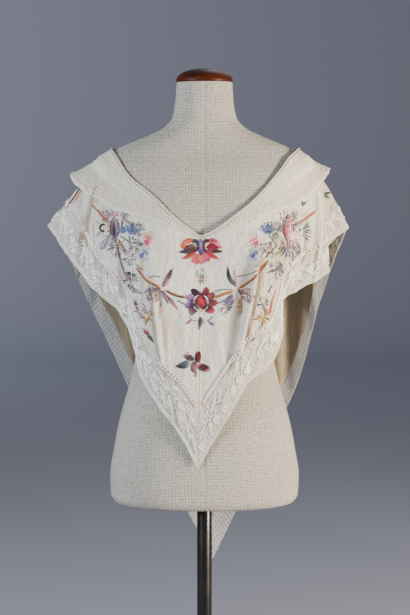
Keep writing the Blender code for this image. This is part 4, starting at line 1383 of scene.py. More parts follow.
    def net_ends(self) -> dict[str, Pair]:
        """The first and last place of each net edging."""
        t, centre = self.seam_turn, self.cape.back_centre
        return {"left": (self.left_border_end + t, centre - t),
                "right": (centre + t, self.right_border_end - t)}

    def openwork_route(self, side: str) -> tuple[Array, Array]:
        """Places along the openwork of a front side, and the distance of its upper edge at each."""
        at = self.columns(*self.front_ends()[side], 24)
        return at, self.cape.seam(at) - self.insertion_width

    def build(self) -> dict[str, bpy.types.Object]:
        """Every cloth piece, by name."""
        t, borders = self.seam_turn, self.border_ends()
        back = (self.left_shoulder + t, self.right_shoulder - t)
        made = []
        for side, ends in self.front_ends().items():
            made.append(self.panel(f"muslin_front_{side}", *ends, True, f"front_panel_{side}"))
            made.append(self.collar(f"front_collar_{side}", *ends, f"collar_{side}"))
            at, low = self.openwork_route(side)
            made.append(self.insertion(f"openwork_seam_{side}", at, low, f"seam_insertion_{side}"))
            self.cover(at, np.stack([low - 0.001, low + self.insertion_width + 0.001], axis=1), self.middle)
        made.append(self.panel("muslin_back", *back, False, "back_panel"))
        made.append(self.collar("back_collar", *back, "collar_back"))
        for side in ("left", "right"):
            made.append(self.border(f"worked_border_{side}", *borders[side], f"front_border_{side}"))
        for side in ("left", "right"):
            made.append(self.border(f"shoulder_edge_{side}", *borders[f"shoulder_{side}"],
                                    f"shoulder_border_{side}"))
        for side, ends in self.net_ends().items():
            made.append(self.net(f"net_{side}", *ends, f"net_edging_{side}"))
        low = np.linspace(self.cloth_start, float(self.cape.seam([0.0])[0]), 80)
        sides = np.array([t - self.centre_turn, self.centre_turn - t])
        self.cover(np.array([-self.centre_turn - t, 0.0, self.centre_turn + t]), np.tile(low, (3, 1)),
                   self.middle)
        made.append(self.insertion("openwork_centre", sides, low, "centre_insertion", along_ring=False,
                                   pitch=0.0037, slit=0.30))
        for side, ends in (("left", borders["left"]), ("back", back), ("right", borders["right"])):
            made.append(self.rolled_edge(f"neck_roll_{side}", *ends, f"neck_binding_{side}"))
        return {piece.name: piece for piece in made}


class Silk(Enum):
    """Thread colours, as red, green and blue of 0 to 255."""

    INK = (26, 22, 32)
    NAVY = (36, 38, 76)
    BLUE = (83, 102, 158)
    PALE_BLUE = (156, 169, 200)
    SLATE = (72, 81, 95)
    VIOLET = (72, 45, 110)
    LILAC = (151, 128, 188)
    PLUM = (64, 24, 52)
    MAUVE = (144, 100, 128)
    WINE = (93, 21, 33)
    CRIMSON = (172, 29, 56)
    RED = (197, 48, 40)
    CORAL = (231, 91, 72)
    ROSE = (222, 80, 116)
    PINK = (232, 138, 162)
    PEACH = (240, 182, 160)
    ORANGE = (214, 110, 40)
    RUST = (163, 78, 29)
    BROWN = (80, 42, 24)
    GOLD = (206, 156, 72)
    OLIVE = (115, 108, 60)
    GREEN = (45, 62, 49)
    SAGE = (115, 133, 112)
    ASH = (163, 160, 158)
    WHITE = (250, 248, 242)

    def tint(self) -> Array:
        """The colour for the shader."""
        return np.array(linear(*self.value)[:3])


def shades(names: str) -> list[Array]:
    """Thread colours from their names."""
    return [Silk[name].tint() for name in names.split()]


class Outline(Enum):
    """Kinds of stroke: bands of satin stitch by how their width changes, and other stitches."""

    LEAF = "leaf"
    OVAL = "oval"
    BUD = "bud"
    ROPE = "rope"
    STEM = "stem"
    PETAL = "long and short petal"
    NET = "open net"
    RAY = "straight stitch"
    KNOT = "scattered knots"
    LINE = "thin line"

    def width(self, share: float) -> float:
        """Share of the full width at a share of the length."""
        if self is Outline.LEAF:
            return math.sin(math.pi * min(share, 1.0) ** 0.8) ** 0.7
        if self is Outline.OVAL:
            return math.sqrt(max(1 - (2 * share - 1) ** 2, 0.03)) ** 0.8
        if self is Outline.BUD:
            return share**0.65 * (1 - share**5) ** 0.5 * 1.15
        return min(1.0, 0.4 + 7 * min(share, 1 - share))


LEAF, OVAL, BUD, ROPE, STEM, PETAL, NET, RAY, KNOT, LINE = Outline


class Stroke(NamedTuple):
    """Like strokes that spread from the middle of a motif, in millimetres and degrees.

    Colours holds sets of thread colours parted by slashes, which the strokes take in turn.
    """

    outline: Outline
    colours: str
    half_width: float
    near: float
    far: float
    turn: float
    count: int = 1
    spread: float = 0.0
    bend: float = 0.0


class Arc(NamedTuple):
    """A corded arc round a point right of and above the middle of a motif, in millimetres and degrees."""

    colours: str
    half_width: float
    across: float
    up: float
    radius: float
    start: float
    sweep: float


class Motif(Enum):
    """The flowers and leaves of the pattern, each drawn from its own sizes."""

    PANSY = (
        Stroke(OVAL, "PLUM WINE PLUM/WINE CRIMSON WINE", 10, 5, 30, 176, 2, -172),
        Stroke(LEAF, "VIOLET LILAC VIOLET PLUM", 6, 18, -14, 90),
        Arc("RED CORAL ORANGE RED", 5, -18, 2, 13, 70, 110),
        Arc("ROSE CRIMSON PINK CRIMSON", 5, 18, 2, 13, 110, -110),
        Arc("INK NAVY INK NAVY", 3.8, -11, 7, 8, 120, -230), Arc("INK WINE INK", 3.8, 11, 7, 8, 60, 230),
        Arc("WHITE LILAC", 1.2, -12, 4, 4, 100, -200), Arc("PEACH WHITE", 1.2, 12, 4, 4, 80, 200),
        Stroke(BUD, "NAVY INK NAVY/INK BROWN INK", 5, 37, 20, 184, 2, -188),
        Stroke(LEAF, "RED CRIMSON RED CORAL", 4, 10, 36, 206, 2, 128),
        Stroke(PETAL,
               "ORANGE CORAL ROSE/GOLD CORAL ROSE/GOLD PINK CORAL/ORANGE ROSE LILAC/CORAL ROSE CRIMSON", 5,
               6, 26, 234, 5, 18),
    )
    ROSE = (
        Stroke(OVAL, "WINE PLUM INK WINE", 19, -19, 19, 0),
        Stroke(OVAL, "PLUM INK PLUM/LILAC MAUVE PLUM/LILAC VIOLET PLUM/MAUVE PLUM INK", 7.5, 27, 8, 118, 4,
               34),
        Stroke(OVAL, "CRIMSON WINE INK/WINE CRIMSON INK/CRIMSON WINE INK/ROSE WINE INK", 7.5, 27, 8, 62, 4,
               -34),
        Stroke(OVAL, "INK CRIMSON/PLUM WINE/INK MAUVE/INK WINE/PLUM CRIMSON", 6, 17, 5, 90, 5, 72),
        Stroke(OVAL, "CRIMSON RED CRIMSON WINE", 8, 10, -10, 90),
        Arc("WHITE PEACH WHITE", 2.0, 0, -1, 13, 205, 130), Arc("WHITE ASH", 1.9, 0, 1, 12, 110, 80),
        Arc("PEACH WHITE", 1.9, 0, 1, 12, -15, 80), Arc("PLUM INK", 1.4, 0, 0, 5, 40, 280),
    )
    STAR = (Stroke(RAY, "GOLD/BROWN/OLIVE/RUST", 0.8, 1, 9, 20, 8, 45),)
    CORNFLOWER = (
        Stroke(PETAL, "NAVY BLUE PALE_BLUE/NAVY BLUE SLATE/BLUE BLUE PALE_BLUE", 4.5, 0, 18, 56, 3, 34),
        Stroke(RAY, "BLUE/PALE_BLUE/NAVY", 0.6, 10, 19, 36, 7, 18),
    )
    CARNATION = (
        Stroke(PETAL, "CRIMSON ROSE PINK/CORAL ROSE PEACH/ROSE PEACH WHITE", 4.5, 0, 13, -70, 3, 60),
        Stroke(RAY, "PEACH/WHITE/PINK", 0.6, 8, 16, -80, 8, 20),
    )
    BLUET = (
        Stroke(PETAL, "SLATE PALE_BLUE WHITE/BLUE PALE_BLUE WHITE/NAVY BLUE PALE_BLUE/WHITE PALE_BLUE", 4,
               0, 9, 20, 4, 90), Stroke(RAY, "WHITE/ASH", 0.5, 7, 12, 0, 7, 51),
    )
    FUCHSIA = (
        Stroke(LEAF, "MAUVE PLUM INK PLUM", 4.6, 20, -20, 92, bend=4),
        Stroke(LEAF, "ASH MAUVE VIOLET MAUVE", 4, 20, -18, 88, bend=-4),
        Stroke(ROPE, "PLUM INK", 1.2, 18, -18, 90), Stroke(ROPE, "PLUM VIOLET", 1, 18, -18, 84, bend=-8),
        Stroke(PETAL, "PLUM PINK PEACH/MAUVE PINK ASH", 3.5, 20, 31, 82, 2, 16),
        Stroke(LEAF, "MAUVE ASH MAUVE", 4, 22, 38, 48), Stroke(LEAF, "MAUVE LILAC ASH MAUVE", 7, 12, 38, 232),
        Stroke(ROPE, "WHITE WHITE", 1.2, 14, 38, 220, 2, 26), Arc("INK BROWN", 1.8, -17, 3, 5, 60, 240),
        Arc("GOLD PEACH RUST", 1.8, -13, 2, 5, 90, -160),
        Stroke(RAY, "PINK/ASH/MAUVE", 0.6, 24, 34, 100, 4, 12),
    )
    ROSY_FUCHSIA = (
        Stroke(LEAF, "PLUM CRIMSON WINE", 4.2, 23, -22, 92, bend=4),
        Stroke(LEAF, "CRIMSON ROSE PINK", 3.8, 22, -14, 88, bend=-4),
        Stroke(LEAF, "WHITE PINK WHITE", 2, 10, -12, 76, bend=-3),
        Stroke(OVAL, "WINE CRIMSON WINE", 4, -10, -28, 90),
        Stroke(ROPE, "PLUM INK", 1.2, 20, -20, 94, bend=8),
        Stroke(RAY, "ROSE/PINK/WHITE", 0.7, 22, 32, 66, 5, 12),
    )
    ORANGE_BUD = (Stroke(OVAL, "ORANGE RUST GOLD", 5, -8, 8, 80), Stroke(OVAL, "INK GREEN", 2.5, 8, 15, 60))
    PALE_FAN = (
        Stroke(RAY, "WHITE/ASH", 0.8, 6, 22, 126, 8, 15), Stroke(RAY, "SLATE/ASH", 0.6, 7, 20, 133, 7, 15),
    )
    DARK_FAN = (
        Stroke(LEAF, "GREEN INK/INK SLATE/GREEN SLATE", 1.4, 7, 25, -42, 6, 17),
        Stroke(RAY, "PALE_BLUE/WHITE", 0.6, 8, 23, -34, 5, 17),
    )
    LEAF_PAIR = (Stroke(LEAF, "GREEN SLATE GREEN/INK GREEN SLATE", 3.8, 0, 19, -20, 2, 40),)
    PALE_PAIR = (
        Stroke(LEAF, "SAGE ASH SAGE/ASH SLATE", 3.5, 0, 17, 46, 2, 26),
        Stroke(KNOT, "GREEN SAGE SLATE INK", 6, 0, 16, 60, 10),
    )
    SHADED_LEAF = (Stroke(LEAF, "INK SLATE ASH SAGE", 5, -14, 15, -30, bend=-3),)
    NET_PETAL = (
        Stroke(NET, "WINE MAUVE", 6, -12, 12, 112), Stroke(KNOT, "WINE PLUM MAUVE", 5, -10, 10, 112, 18),
    )
    PEACH_TIP = (
        Stroke(PETAL, "PINK ASH WHITE SAGE", 3.5, -10, 11, 112),
        Stroke(KNOT, "ROSE SAGE ASH GREEN", 6, -10, 10, 112, 14),
    )
    PLUM_SPRAY = (
        Stroke(LEAF, "BROWN MAUVE BROWN PLUM", 4.5, 3, 32, 62),
        Stroke(ROPE, "PEACH PINK WHITE", 1.2, 6, 28, 50),
        Stroke(LEAF, "SLATE MAUVE/MAUVE PEACH ASH/BROWN ASH PEACH/SLATE ASH SLATE/BROWN MAUVE SLATE", 3.2,
               3, 26, 190, 5, 26), Stroke(LEAF, "BROWN MAUVE CORAL", 2.8, 12, 42, 308),
        Stroke(KNOT, "BROWN PLUM ASH RUST INK", 12, 2, 28, 222, 46),
    )
    RUSTY_SPRAY = (
        Stroke(LEAF, "SLATE SLATE INK BROWN", 4.2, 3, 35, 112, bend=4),
        Stroke(ROPE, "PINK LILAC", 1.2, 8, 28, 100),
        Stroke(LEAF, "PEACH RUST/MAUVE RUST CORAL/PLUM RUST", 2, 2, 23, -4, 3, -26),
        Stroke(KNOT, "PLUM RUST BROWN", 6, 6, 32, -32, 22),
    )
    LILAC_SPRAY = (
        Stroke(LEAF, "VIOLET LILAC/LILAC VIOLET/PLUM LILAC", 1.8, 3, 22, 216, 3, 18),
        Stroke(KNOT, "LILAC VIOLET PLUM INK LILAC", 8, 4, 40, 244, 70),
    )
    GOLD_SPRAY = (
        Stroke(LEAF, "GOLD RUST/ORANGE GOLD", 1.2, 4, 14, -74, 2, -28),
        Stroke(KNOT, "RUST ORANGE GOLD BROWN", 4.5, 2, 34, -90, 44),
    )
    GOLD_SPRIG = (
        Stroke(LEAF, "GOLD OLIVE/GOLD BROWN/OLIVE GOLD", 2, 2, 15, 200, 4, 62),
        Stroke(RAY, "GOLD/OLIVE/GOLD/BROWN", 0.7, 2, 12, 10, 6, 55),
        Stroke(KNOT, "GOLD ORANGE OLIVE BROWN", 9, -10, 12, 60, 24),
    )
    ROSEBUD = (
        Stroke(BUD, "PINK CRIMSON WINE", 5, 16, 0, 128), Stroke(BUD, "GREEN INK GREEN", 4.5, -16, 1, 126),
        Stroke(RAY, "SLATE/GREEN", 0.6, 2, 12, 150, 3, -24),
    )
    PLUM_BUD = (
        Stroke(OVAL, "INK PLUM VIOLET", 3.5, -7, 7, 104), Stroke(RAY, "MAUVE/SLATE", 0.6, 6, 12, 80, 3, 22),
    )
    TASSEL = (
        Stroke(LEAF, "SLATE GREEN SLATE SAGE", 4, 2, 25, 264), Stroke(LEAF, "GOLD OLIVE", 1.8, 3, 15, 290),
        Stroke(LEAF, "ASH MAUVE ROSE", 3, 28, 17, 208), Stroke(LEAF, "LILAC SLATE PALE_BLUE", 3, 16, 29, -35),
        Arc("SAGE SLATE", 0.8, -8, 4, 13, 200, 80), Arc("SLATE GREEN", 0.8, 8, 4, 13, -20, -60),
    )
    POSY = (
        Stroke(BUD, "SLATE INK SLATE ASH", 9, 36, 10, 190), Stroke(OVAL, "MAUVE PLUM INK", 6, 24, 6, 146),
        Stroke(OVAL, "INK WINE BROWN", 7, 1, 20, 70), Stroke(OVAL, "WINE MAUVE WINE", 7, 0, 18, 246),
        Stroke(OVAL, "PINK WINE INK WINE PINK", 8, 4, 26, -35),
        Stroke(KNOT, "PLUM INK MAUVE", 5, 8, 26, 140, 20),
    )
    FILLING = (
        Stroke(LEAF, "SAGE ASH SLATE/WHITE ASH/SLATE GREEN/MAUVE ASH", 1.9, 3, 17, 40, 5, 77),
        Stroke(KNOT, "ASH SAGE SLATE MAUVE PINK BROWN", 12, -18, 18, 90, 34),
        Stroke(RAY, "SAGE/WHITE/MAUVE/SLATE", 0.8, 5, 18, 15, 6, 61),
    )


class Spot(NamedTuple):
    """Where a motif lies, in millimetres right of the centre line and above the pattern's level."""

    motif: Motif
    across: float
    up: float
    turn: float = 0.0
    size: float = 1.0
    hand: int = 1


class Stem(NamedTuple):
    """A stem or tendril between two places, in millimetres, and how far it bows to its left."""

    outline: Outline
    colours: str
    half_width: float
    start: Pair
    end: Pair
    bow: float


SPOTS = (
    *(Spot(*row) for row in (
        (Motif.PANSY, -6, -117), (Motif.STAR, -4, -166), (Motif.TASSEL, -6, -228), (Motif.ROSE, -6, -206),
        (Motif.POSY, -14, -308), (Motif.PALE_FAN, -173, -82), (Motif.FUCHSIA, -154, -85, 0, 1.15),
        (Motif.CORNFLOWER, -122, -94, 0, 1.2), (Motif.CORNFLOWER, -137, -91, 15, 0.8),
        (Motif.CARNATION, -101, -99, 10, 1.2), (Motif.BLUET, -101, -125, 0, 1.3),
        (Motif.LEAF_PAIR, -133, -156, -40), (Motif.SHADED_LEAF, -118, -184), (Motif.PLUM_BUD, -116, -212),
        (Motif.GOLD_SPRIG, -98, -230), (Motif.ROSEBUD, -95, -262), (Motif.PLUM_SPRAY, -72, -182, 0, 1.15),
        (Motif.RUSTY_SPRAY, 55, -182, 0, 1.15), (Motif.LILAC_SPRAY, 49, -190), (Motif.GOLD_SPRAY, 59, -196),
        (Motif.DARK_FAN, 163, -89), (Motif.DARK_FAN, 144, -106, -95, 1.15),
        (Motif.ROSY_FUCHSIA, 143, -85, 0, 1.15), (Motif.ORANGE_BUD, 158, -95),
        (Motif.CORNFLOWER, 108, -93, 0, 1.15), (Motif.CARNATION, 90, -100, 0, 1.1, -1),
        (Motif.BLUET, 87, -125, 0, 1.25), (Motif.PALE_PAIR, 116, -104), (Motif.NET_PETAL, 159, -115),
        (Motif.PEACH_TIP, 156, -59, 0, 0.8), (Motif.LEAF_PAIR, 168, -44, 60, 0.6),
        (Motif.LEAF_PAIR, 208, -25, -10, 0.8), (Motif.LEAF_PAIR, 130, -140, -115, 1.2),
        (Motif.GOLD_SPRIG, 100, -230, 0, 1.2),
    )),
    *(Spot(Motif.FILLING, *place) for place in (
        (-150, -114), (-118, -110, 20, 0.8), (-138, -66, 60), (-128, -132, 0, 0.8), (-126, -168, 0, 0.9),
        (-108, -220, 0, 0.8), (140, -112, 0, 0.9), (112, -118, 40, 0.8), (152, -72, 80), (122, -152, 0, 0.9),
        (124, -84, 0, 0.8), (100, -208, 0, 0.7), (-90, -190, 90, 0.7), (74, -196, 90, 0.7),
        (-168, -62, 30, 0.7), (-160, -104, 10, 0.7), (134, -74, 40, 0.7), (152, -124, 70, 0.8),
        (-112, -84, 15, 0.7),
    )),
    Spot(Motif.ROSEBUD, 86, -264, 0, 0.7, -1),
)
STEMS = (
    *(Stem(STEM, *row) for row in (
        ("BROWN RUST ORANGE GOLD", 2.2, (-195, -42), (-165, -74), 2),
        ("INK BROWN RUST ORANGE", 2.2, (-148, -100), (-134, -123), 1),
        ("BROWN RUST ORANGE GOLD", 2.4, (-115, -148), (-75, -180), -5),
        ("INK BROWN RUST ORANGE", 2.4, (-65, -185), (-33, -197), -2),
        ("RUST GOLD ORANGE GOLD", 2.4, (18, -197), (48, -187), 1),
        ("BROWN RUST ORANGE ORANGE", 2.4, (57, -183), (109, -135), -4),
        ("OLIVE GOLD PEACH GOLD", 2.2, (122, -127), (137, -108), 0),
        ("BROWN RUST ORANGE ORANGE", 2.3, (154, -77), (193, -53), -1),
        ("CRIMSON CORAL ROSE PINK", 1.7, (121, -187), (111, -225), -1),
    )),
    *(Stem(ROPE, *row) for row in (
        ("INK BROWN WINE", 1.5, (-213, -6), (-242, -49), 1),
        ("CRIMSON CORAL WHITE", 1.2, (-209, -8), (-238, -51), 1),
    )),
    *(Stem(LINE, *row) for row in (
        ("GREEN SLATE", 0.7, (-144, -95), (-103, -107), -4),
        ("GREEN INK SLATE", 0.9, (-149, -104), (-131, -172), -3),
        ("SAGE ASH", 0.7, (-153, -104), (-139, -145), -2), ("GREEN SAGE", 0.7, (-128, -94), (-126, -121), 1),
        ("GREEN INK", 0.6, (-112, -104), (-102, -117), 1),
        ("OLIVE BROWN", 0.7, (-117, -141), (-104, -151), -1),
        ("PINK CORAL", 0.6, (-140, -142), (-133, -165), 1),
        ("BROWN OLIVE BROWN", 0.6, (-94, -165), (-75, -163), 3),
        ("SLATE ASH", 0.5, (-75, -206), (-75, -234), 0), ("GREEN SLATE", 0.7, (-45, -202), (-27, -210), -1),
        ("GREEN SAGE", 0.6, (18, -187), (47, -184), 2), ("SLATE SAGE", 0.7, (21, -208), (40, -197), -1),
        ("WHITE SAGE WHITE", 0.6, (-13, -148), (-14, -163), 2),
        ("SAGE WHITE", 0.6, (-1, -148), (2, -161), -2),
        ("GREEN SAGE GREEN", 0.6, (94, -109), (115, -104), -1),
        ("OLIVE GREEN", 0.7, (109, -93), (123, -112), 1), ("OLIVE MAUVE", 0.6, (115, -109), (88, -147), -5),
        ("OLIVE BROWN", 0.6, (56, -162), (90, -151), -2), ("GREEN SAGE", 0.6, (120, -113), (104, -131), 1),
        ("SLATE GREEN", 0.6, (115, -178), (108, -190), 0), ("SLATE ASH", 0.5, (101, -73), (130, -77), 3),
        ("OLIVE GOLD", 0.6, (99, -243), (89, -257), 0), ("OLIVE", 0.6, (62, -196), (63, -225), 1),
        ("SLATE", 0.6, (-15, -323), (-15, -333), 0), ("PEACH WHITE", 0.6, (88, -102), (72, -109), -1),
    )),
)


class Needlework:
    """Threads laid on a surface, gathered into one mesh, from places on its flat pattern."""

    first_layer, layer_rise = 0.0001, 0.00002
    curve_step, net_pitch = 0.0022, 0.0021
    longest, foot_depth = 0.035, 0.0002
    slant, band_rise, petal_rise = 0.5, 0.0009, 0.0008
    stations = ((0.0, -0.2, 0.45), (0.28, 0.9, 1.0), (0.72, 0.9, 1.0), (1.0, -0.2, 0.45))
    petal_rows = ((0.0, 0.42), (0.34, 0.74), (0.66, 1.0))

    def __init__(self, name: str, lay: Callable[[Array], tuple[Array, Array]], scale: float,
                 material: bpy.types.Material, seed: int, pitch: float = 0.0008,
                 dye: Pair = (0.55, 1.00)) -> None:
        """Starts a piece of needlework.

        Args:
            name: Name of the piece.
            lay: Gives points and normals on the cloth for an array of flat places.
            scale: Metres for one unit of the flat places.
            material: Finish of the threads.
            seed: Start of the random draws.
            pitch: Distance between neighbouring threads in metres.
            dye: How much of its colour the palest and the fullest thread shows.
        """
        self.name, self.lay, self.scale, self.material, self.pitch = name, lay, scale, material, pitch
        self.dye = dye
        self.draw = random.Random(seed)
        self.layer = self.first_layer
        self.starts: list[Pair] = []
        self.ends: list[Pair] = []
        self.widths: list[float] = []
        self.rises: list[float] = []
        self.lifts: list[float] = []
        self.colours: list[Array] = []

    def thread(self, start: Sequence[float], end: Sequence[float], colour: Array, width: float | None = None,
               rise: float = 0.0005) -> None:
        """Lays one stitch.

        Args:
            start: Its first flat place.
            end: Its last flat place.
            colour: Its colour before the dye's unevenness.
            width: Its width in metres, or None for the work's usual one.
            rise: How far it stands up in metres.
        """
        self.starts.append((float(start[0]), float(start[1])))
        self.ends.append((float(end[0]), float(end[1])))
        self.widths.append(width or self.pitch * 1.15)
        self.rises.append(rise)
        self.lifts.append(self.layer)
        self.colours.append(colour * self.draw.uniform(*self.dye))

    def blend(self, tones: Sequence[Array], share: float) -> Array:
        """A colour at a share along a row of them."""
        place = min(max(share + self.draw.uniform(-0.06, 0.06), 0.0), 1.0) * (len(tones) - 1)
        first = min(int(place), len(tones) - 2) if len(tones) > 1 else 0
        second = min(first + 1, len(tones) - 1)
        return tones[first] * (1 - place + first) + tones[second] * (place - first)

    def band(self, outline: Outline, points: Sequence[Sequence[float]], half_width: float,
             tones: Sequence[Array]) -> None:
        """Slanted satin stitches side by side along a line.

        Args:
            outline: How the width changes along the line.
            points: Points of the middle line.
            half_width: Half of its full width.
            tones: Thread colours along the line; a stem has the first along one edge instead.
        """
        rise = self.band_rise
        route = np.array(self.smoothed(points))
        lengths = travelled(route)
        count = max(3, int(lengths[-1] * self.scale / (self.pitch * 0.9)))
        for index in range(count):
            share = (index + 0.5) / count
            behind, centre, ahead = ([np.interp(share * lengths[-1] + step, lengths, route[:, axis])
                                      for axis in (0, 1)] for step in (-0.4, 0.0, 0.4))
            run = (np.array(ahead) - behind) / max(math.dist(ahead, behind), 1e-9)
            half = half_width * outline.width(share) * self.draw.uniform(0.90, 1.06)
            lean = (quarter_turn(run) + run * self.slant) * half
            if outline is Outline.STEM:
                self.thread(centre - lean, centre - lean * 0.1, tones[0] * 0.8, rise=rise * 0.7)
                colour = self.blend(tones[1:], self.draw.random())
                self.thread(centre - lean * 0.4, centre + lean, colour, rise=rise)
            else:
                self.thread(centre - lean, centre + lean, self.blend(tones, share), rise=rise)

    def petal(self, base: Array, tip: Array, half_width: float, tones: Sequence[Array]) -> None:
        """A petal of long and short stitches that spread from its base to its rounded edge.

        Args:
            base: Its inner end.
            tip: Its outer end.
            half_width: Half of its full width.
            tones: Thread colours from base to tip.
        """
        run = tip - base
        cross = quarter_turn(run) / np.linalg.norm(run)
        count = max(5, int(2 * half_width * self.scale / self.pitch))
        for index in range(count):
            place = -1 + 2 * (index + 0.5) / count
            reach = math.sqrt(max(1 - place**2, 0.04))
            edge = base + run * (0.42 + 0.58 * reach) + cross * half_width * place
            near = base + run * 0.10 + cross * half_width * 0.35 * place
            for low, high in self.petal_rows:
                low += self.draw.uniform(-0.04, 0.04)
                start, end = near + (edge - near) * max(low, 0.0), near + (edge - near) * high
                self.thread(start, end, self.blend(tones, 0.5 * (low + high)),
                            rise=self.petal_rise * (0.6 + 0.4 * reach))

    def lattice(self, base: Array, tip: Array, half_width: float, tones: Sequence[Array]) -> None:
        """A petal filled with an open net inside a corded outline.

        Args:
            base: Its inner end.
            tip: Its outer end.
            half_width: Half of its full width.
            tones: Colour of the outline, and as the last one that of the net.
        """
        middle, run = (base + tip) / 2, (tip - base) / 2
        cross = quarter_turn(run) / np.linalg.norm(run) * half_width
        rim = [middle + run * math.cos(turn) + cross * math.sin(turn)
               for turn in np.linspace(0, 2 * math.pi, 30)]
        self.line(rim, 0.0012, tones[:1], smooth=False)
        count = max(3, int(np.linalg.norm(run) * 2 * self.scale / self.net_pitch))
        for index in range(1, count):
            place = -1 + 2 * index / count
            reach = math.sqrt(1 - place**2)
            for first, second in ((run, cross), (cross, run)):
                self.thread(middle + first * place - second * reach, middle + first * place + second * reach,
                            tones[-1], 0.0009, 0.0004)

    def line(self, points: Sequence[Sequence[float]], width: float, tones: Sequence[Array],
             smooth: bool = True) -> None:
        """A row of short stitches end to end along a line.

        Args:
            points: Points of the line.
            width: Width of the stitches in metres.
            tones: Thread colours along the line.
            smooth: False to keep to the given points.
        """
        points = self.smoothed(points) if smooth else points
        total = max(len(points) - 1, 1)
        for index, (start, end) in enumerate(zip(points, points[1:])):
            reach = (end - start) * 0.12
            self.thread(start - reach, end + reach, self.blend(tones, index / total), width, 0.0004)

    def knots(self, part: Stroke, flat: Callable[[float, float], Array], tones: Sequence[Array]) -> None:
        """Small knots scattered over a long patch of a motif.

        Args:
            part: The patch, from its near end to its far end along its turn.
            flat: Gives the place in the pattern of a place in the motif.
            tones: Thread colours.
        """
        way, half = math.radians(part.turn), np.array([1.0, 0.5])
        for _ in range(part.count):
            turn, reach = self.draw.uniform(0, 2 * math.pi), math.sqrt(self.draw.uniform(0, 1))
            along = (part.near + part.far) / 2 + (part.far - part.near) / 2 * reach * math.cos(turn)
            side = part.half_width * reach * math.sin(turn)
            spot = flat(along * math.cos(way) - side * math.sin(way),
                        along * math.sin(way) + side * math.cos(way))
            self.thread(spot - half, spot + half, self.blend(tones, self.draw.uniform(0, 1)), 0.0020, 0.0010)

    def stroke(self, outline: Outline, points: Sequence[Array], half_width: float,
               tones: Sequence[Array]) -> None:
        """One stroke of a motif, a little above the ones before it.

        Args:
            outline: The kind of stroke.
            points: Its start, its middle and its end.
            half_width: Half of its full width.
            tones: Thread colours.
        """
        self.layer += self.layer_rise
        if outline is Outline.LINE:
            self.line(points, half_width * 3 * self.scale, tones)
        elif outline is Outline.RAY:
            self.thread(points[0], points[-1], tones[0], half_width * 2 * self.scale, 0.0007)
        elif outline is Outline.PETAL:
            self.petal(points[0], points[-1], half_width, tones)
        elif outline is Outline.NET:
            self.lattice(points[0], points[-1], half_width, tones)
        else:
            self.band(outline, points, half_width, tones)

    def motif(self, spot: Spot) -> None:
        """Works a motif at its spot, each stroke a little uneven as by hand."""
        turned = math.radians(spot.turn)
        self.layer = self.first_layer

        def flat(across: float, up: float) -> Array:
            """A place of the motif in the pattern."""
            across, up = across * spot.hand * spot.size, up * spot.size
            return np.array([spot.across + across * math.cos(turned) - up * math.sin(turned),
                             spot.up + across * math.sin(turned) + up * math.cos(turned)])

        for part in spot.motif.value:
            sets = [shades(names) for names in part.colours.split("/")]
            half_width = part.half_width * spot.size
            if isinstance(part, Arc):
                turns = np.radians(part.start + part.sweep * np.linspace(0, 1, 7))
                points = [flat(part.across + part.radius * math.cos(turn),
                               part.up + part.radius * math.sin(turn)) for turn in turns]
                self.stroke(Outline.ROPE, points, half_width, sets[0])
            elif part.outline is Outline.KNOT:
                self.knots(part, flat, sets[0])
            else:
                for index in range(part.count):
                    way = math.radians(part.turn + part.spread * index + self.draw.uniform(-2, 2))
                    near, far = part.near, part.far * self.draw.uniform(0.93, 1.06)
                    places = ((near, 0.0), ((near + far) / 2, part.bend), (far, 0.0))
                    points = [flat(math.cos(way) * reach - math.sin(way) * side,
                                   math.sin(way) * reach + math.cos(way) * side) for reach, side in places]
                    self.stroke(part.outline, points, half_width, sets[index % len(sets)])

    def smoothed(self, points: Sequence[Sequence[float]]) -> list[Array]:
        """Points close together on a smooth line through the given ones."""
        points = [np.array(p, float) for p in points]
        ends = [2 * points[0] - points[1], *points, 2 * points[-1] - points[-2]]
        made = []
        for index in range(1, len(ends) - 2):
            a, b, c, d = ends[index - 1:index + 3]
            count = max(2, int(np.linalg.norm(c - b) * self.scale / self.curve_step))
            for step in range(count):
                t = step / count
                made.append(0.5 * (2 * b + (c - a) * t + (2 * a - 5 * b + 4 * c - d) * t**2
                                   + (3 * b - a - 3 * c + d) * t**3))
        return [*made, points[-1]]

    def build(self) -> bpy.types.Object:
        """The mesh of all the threads laid so far, each a low ridge of six faces."""
        start, start_up = self.lay(np.array(self.starts))
        end, end_up = self.lay(np.array(self.ends))
        known = np.isfinite(start[:, 0]) & np.isfinite(end[:, 0])
        known &= np.linalg.norm(np.nan_to_num(end - start), axis=1) < self.longest
        start, end, up = start[known], end[known], unit(start_up + end_up)[known]
        run = end - start
        side = unit(np.cross(run, up))
        up = unit(np.cross(side, run))
        width, rise, layer = (np.array(values)[known][:, None]
                              for values in (self.widths, self.rises, self.lifts))
        half, foot = width / 2, up * self.foot_depth
        columns = []
        for along, lift, share in self.stations:
            middle = start + run * along + up * (rise * lift + layer)
            edge = side * half * share
            columns += [middle - edge - foot, middle + up * half * 0.8 * share, middle + edge - foot]
        points, per = np.stack(columns, axis=1), len(columns)
        pattern = [(s * 3 + r, s * 3 + r + 1, s * 3 + r + 4, s * 3 + r + 3)
                   for s in range(len(self.stations) - 1) for r in range(2)]
        faces = (np.arange(len(points))[:, None, None] * per + np.array(pattern)[None]).reshape(-1, 4)
        piece = new_piece(self.name, points.reshape(-1, 3), faces, self.material)
        tints = np.repeat(np.array(self.colours)[known], per, axis=0)
        opaque = np.concatenate([tints, np.ones((len(tints), 1))], axis=1)
        attribute = piece.data.color_attributes.new("thread_colour", "FLOAT_COLOR", "POINT")
        attribute.data.foreach_set("color", opaque.astype(np.float32).ravel())
        LOG.info("%s has %d stitches", self.name, len(points))
        return piece


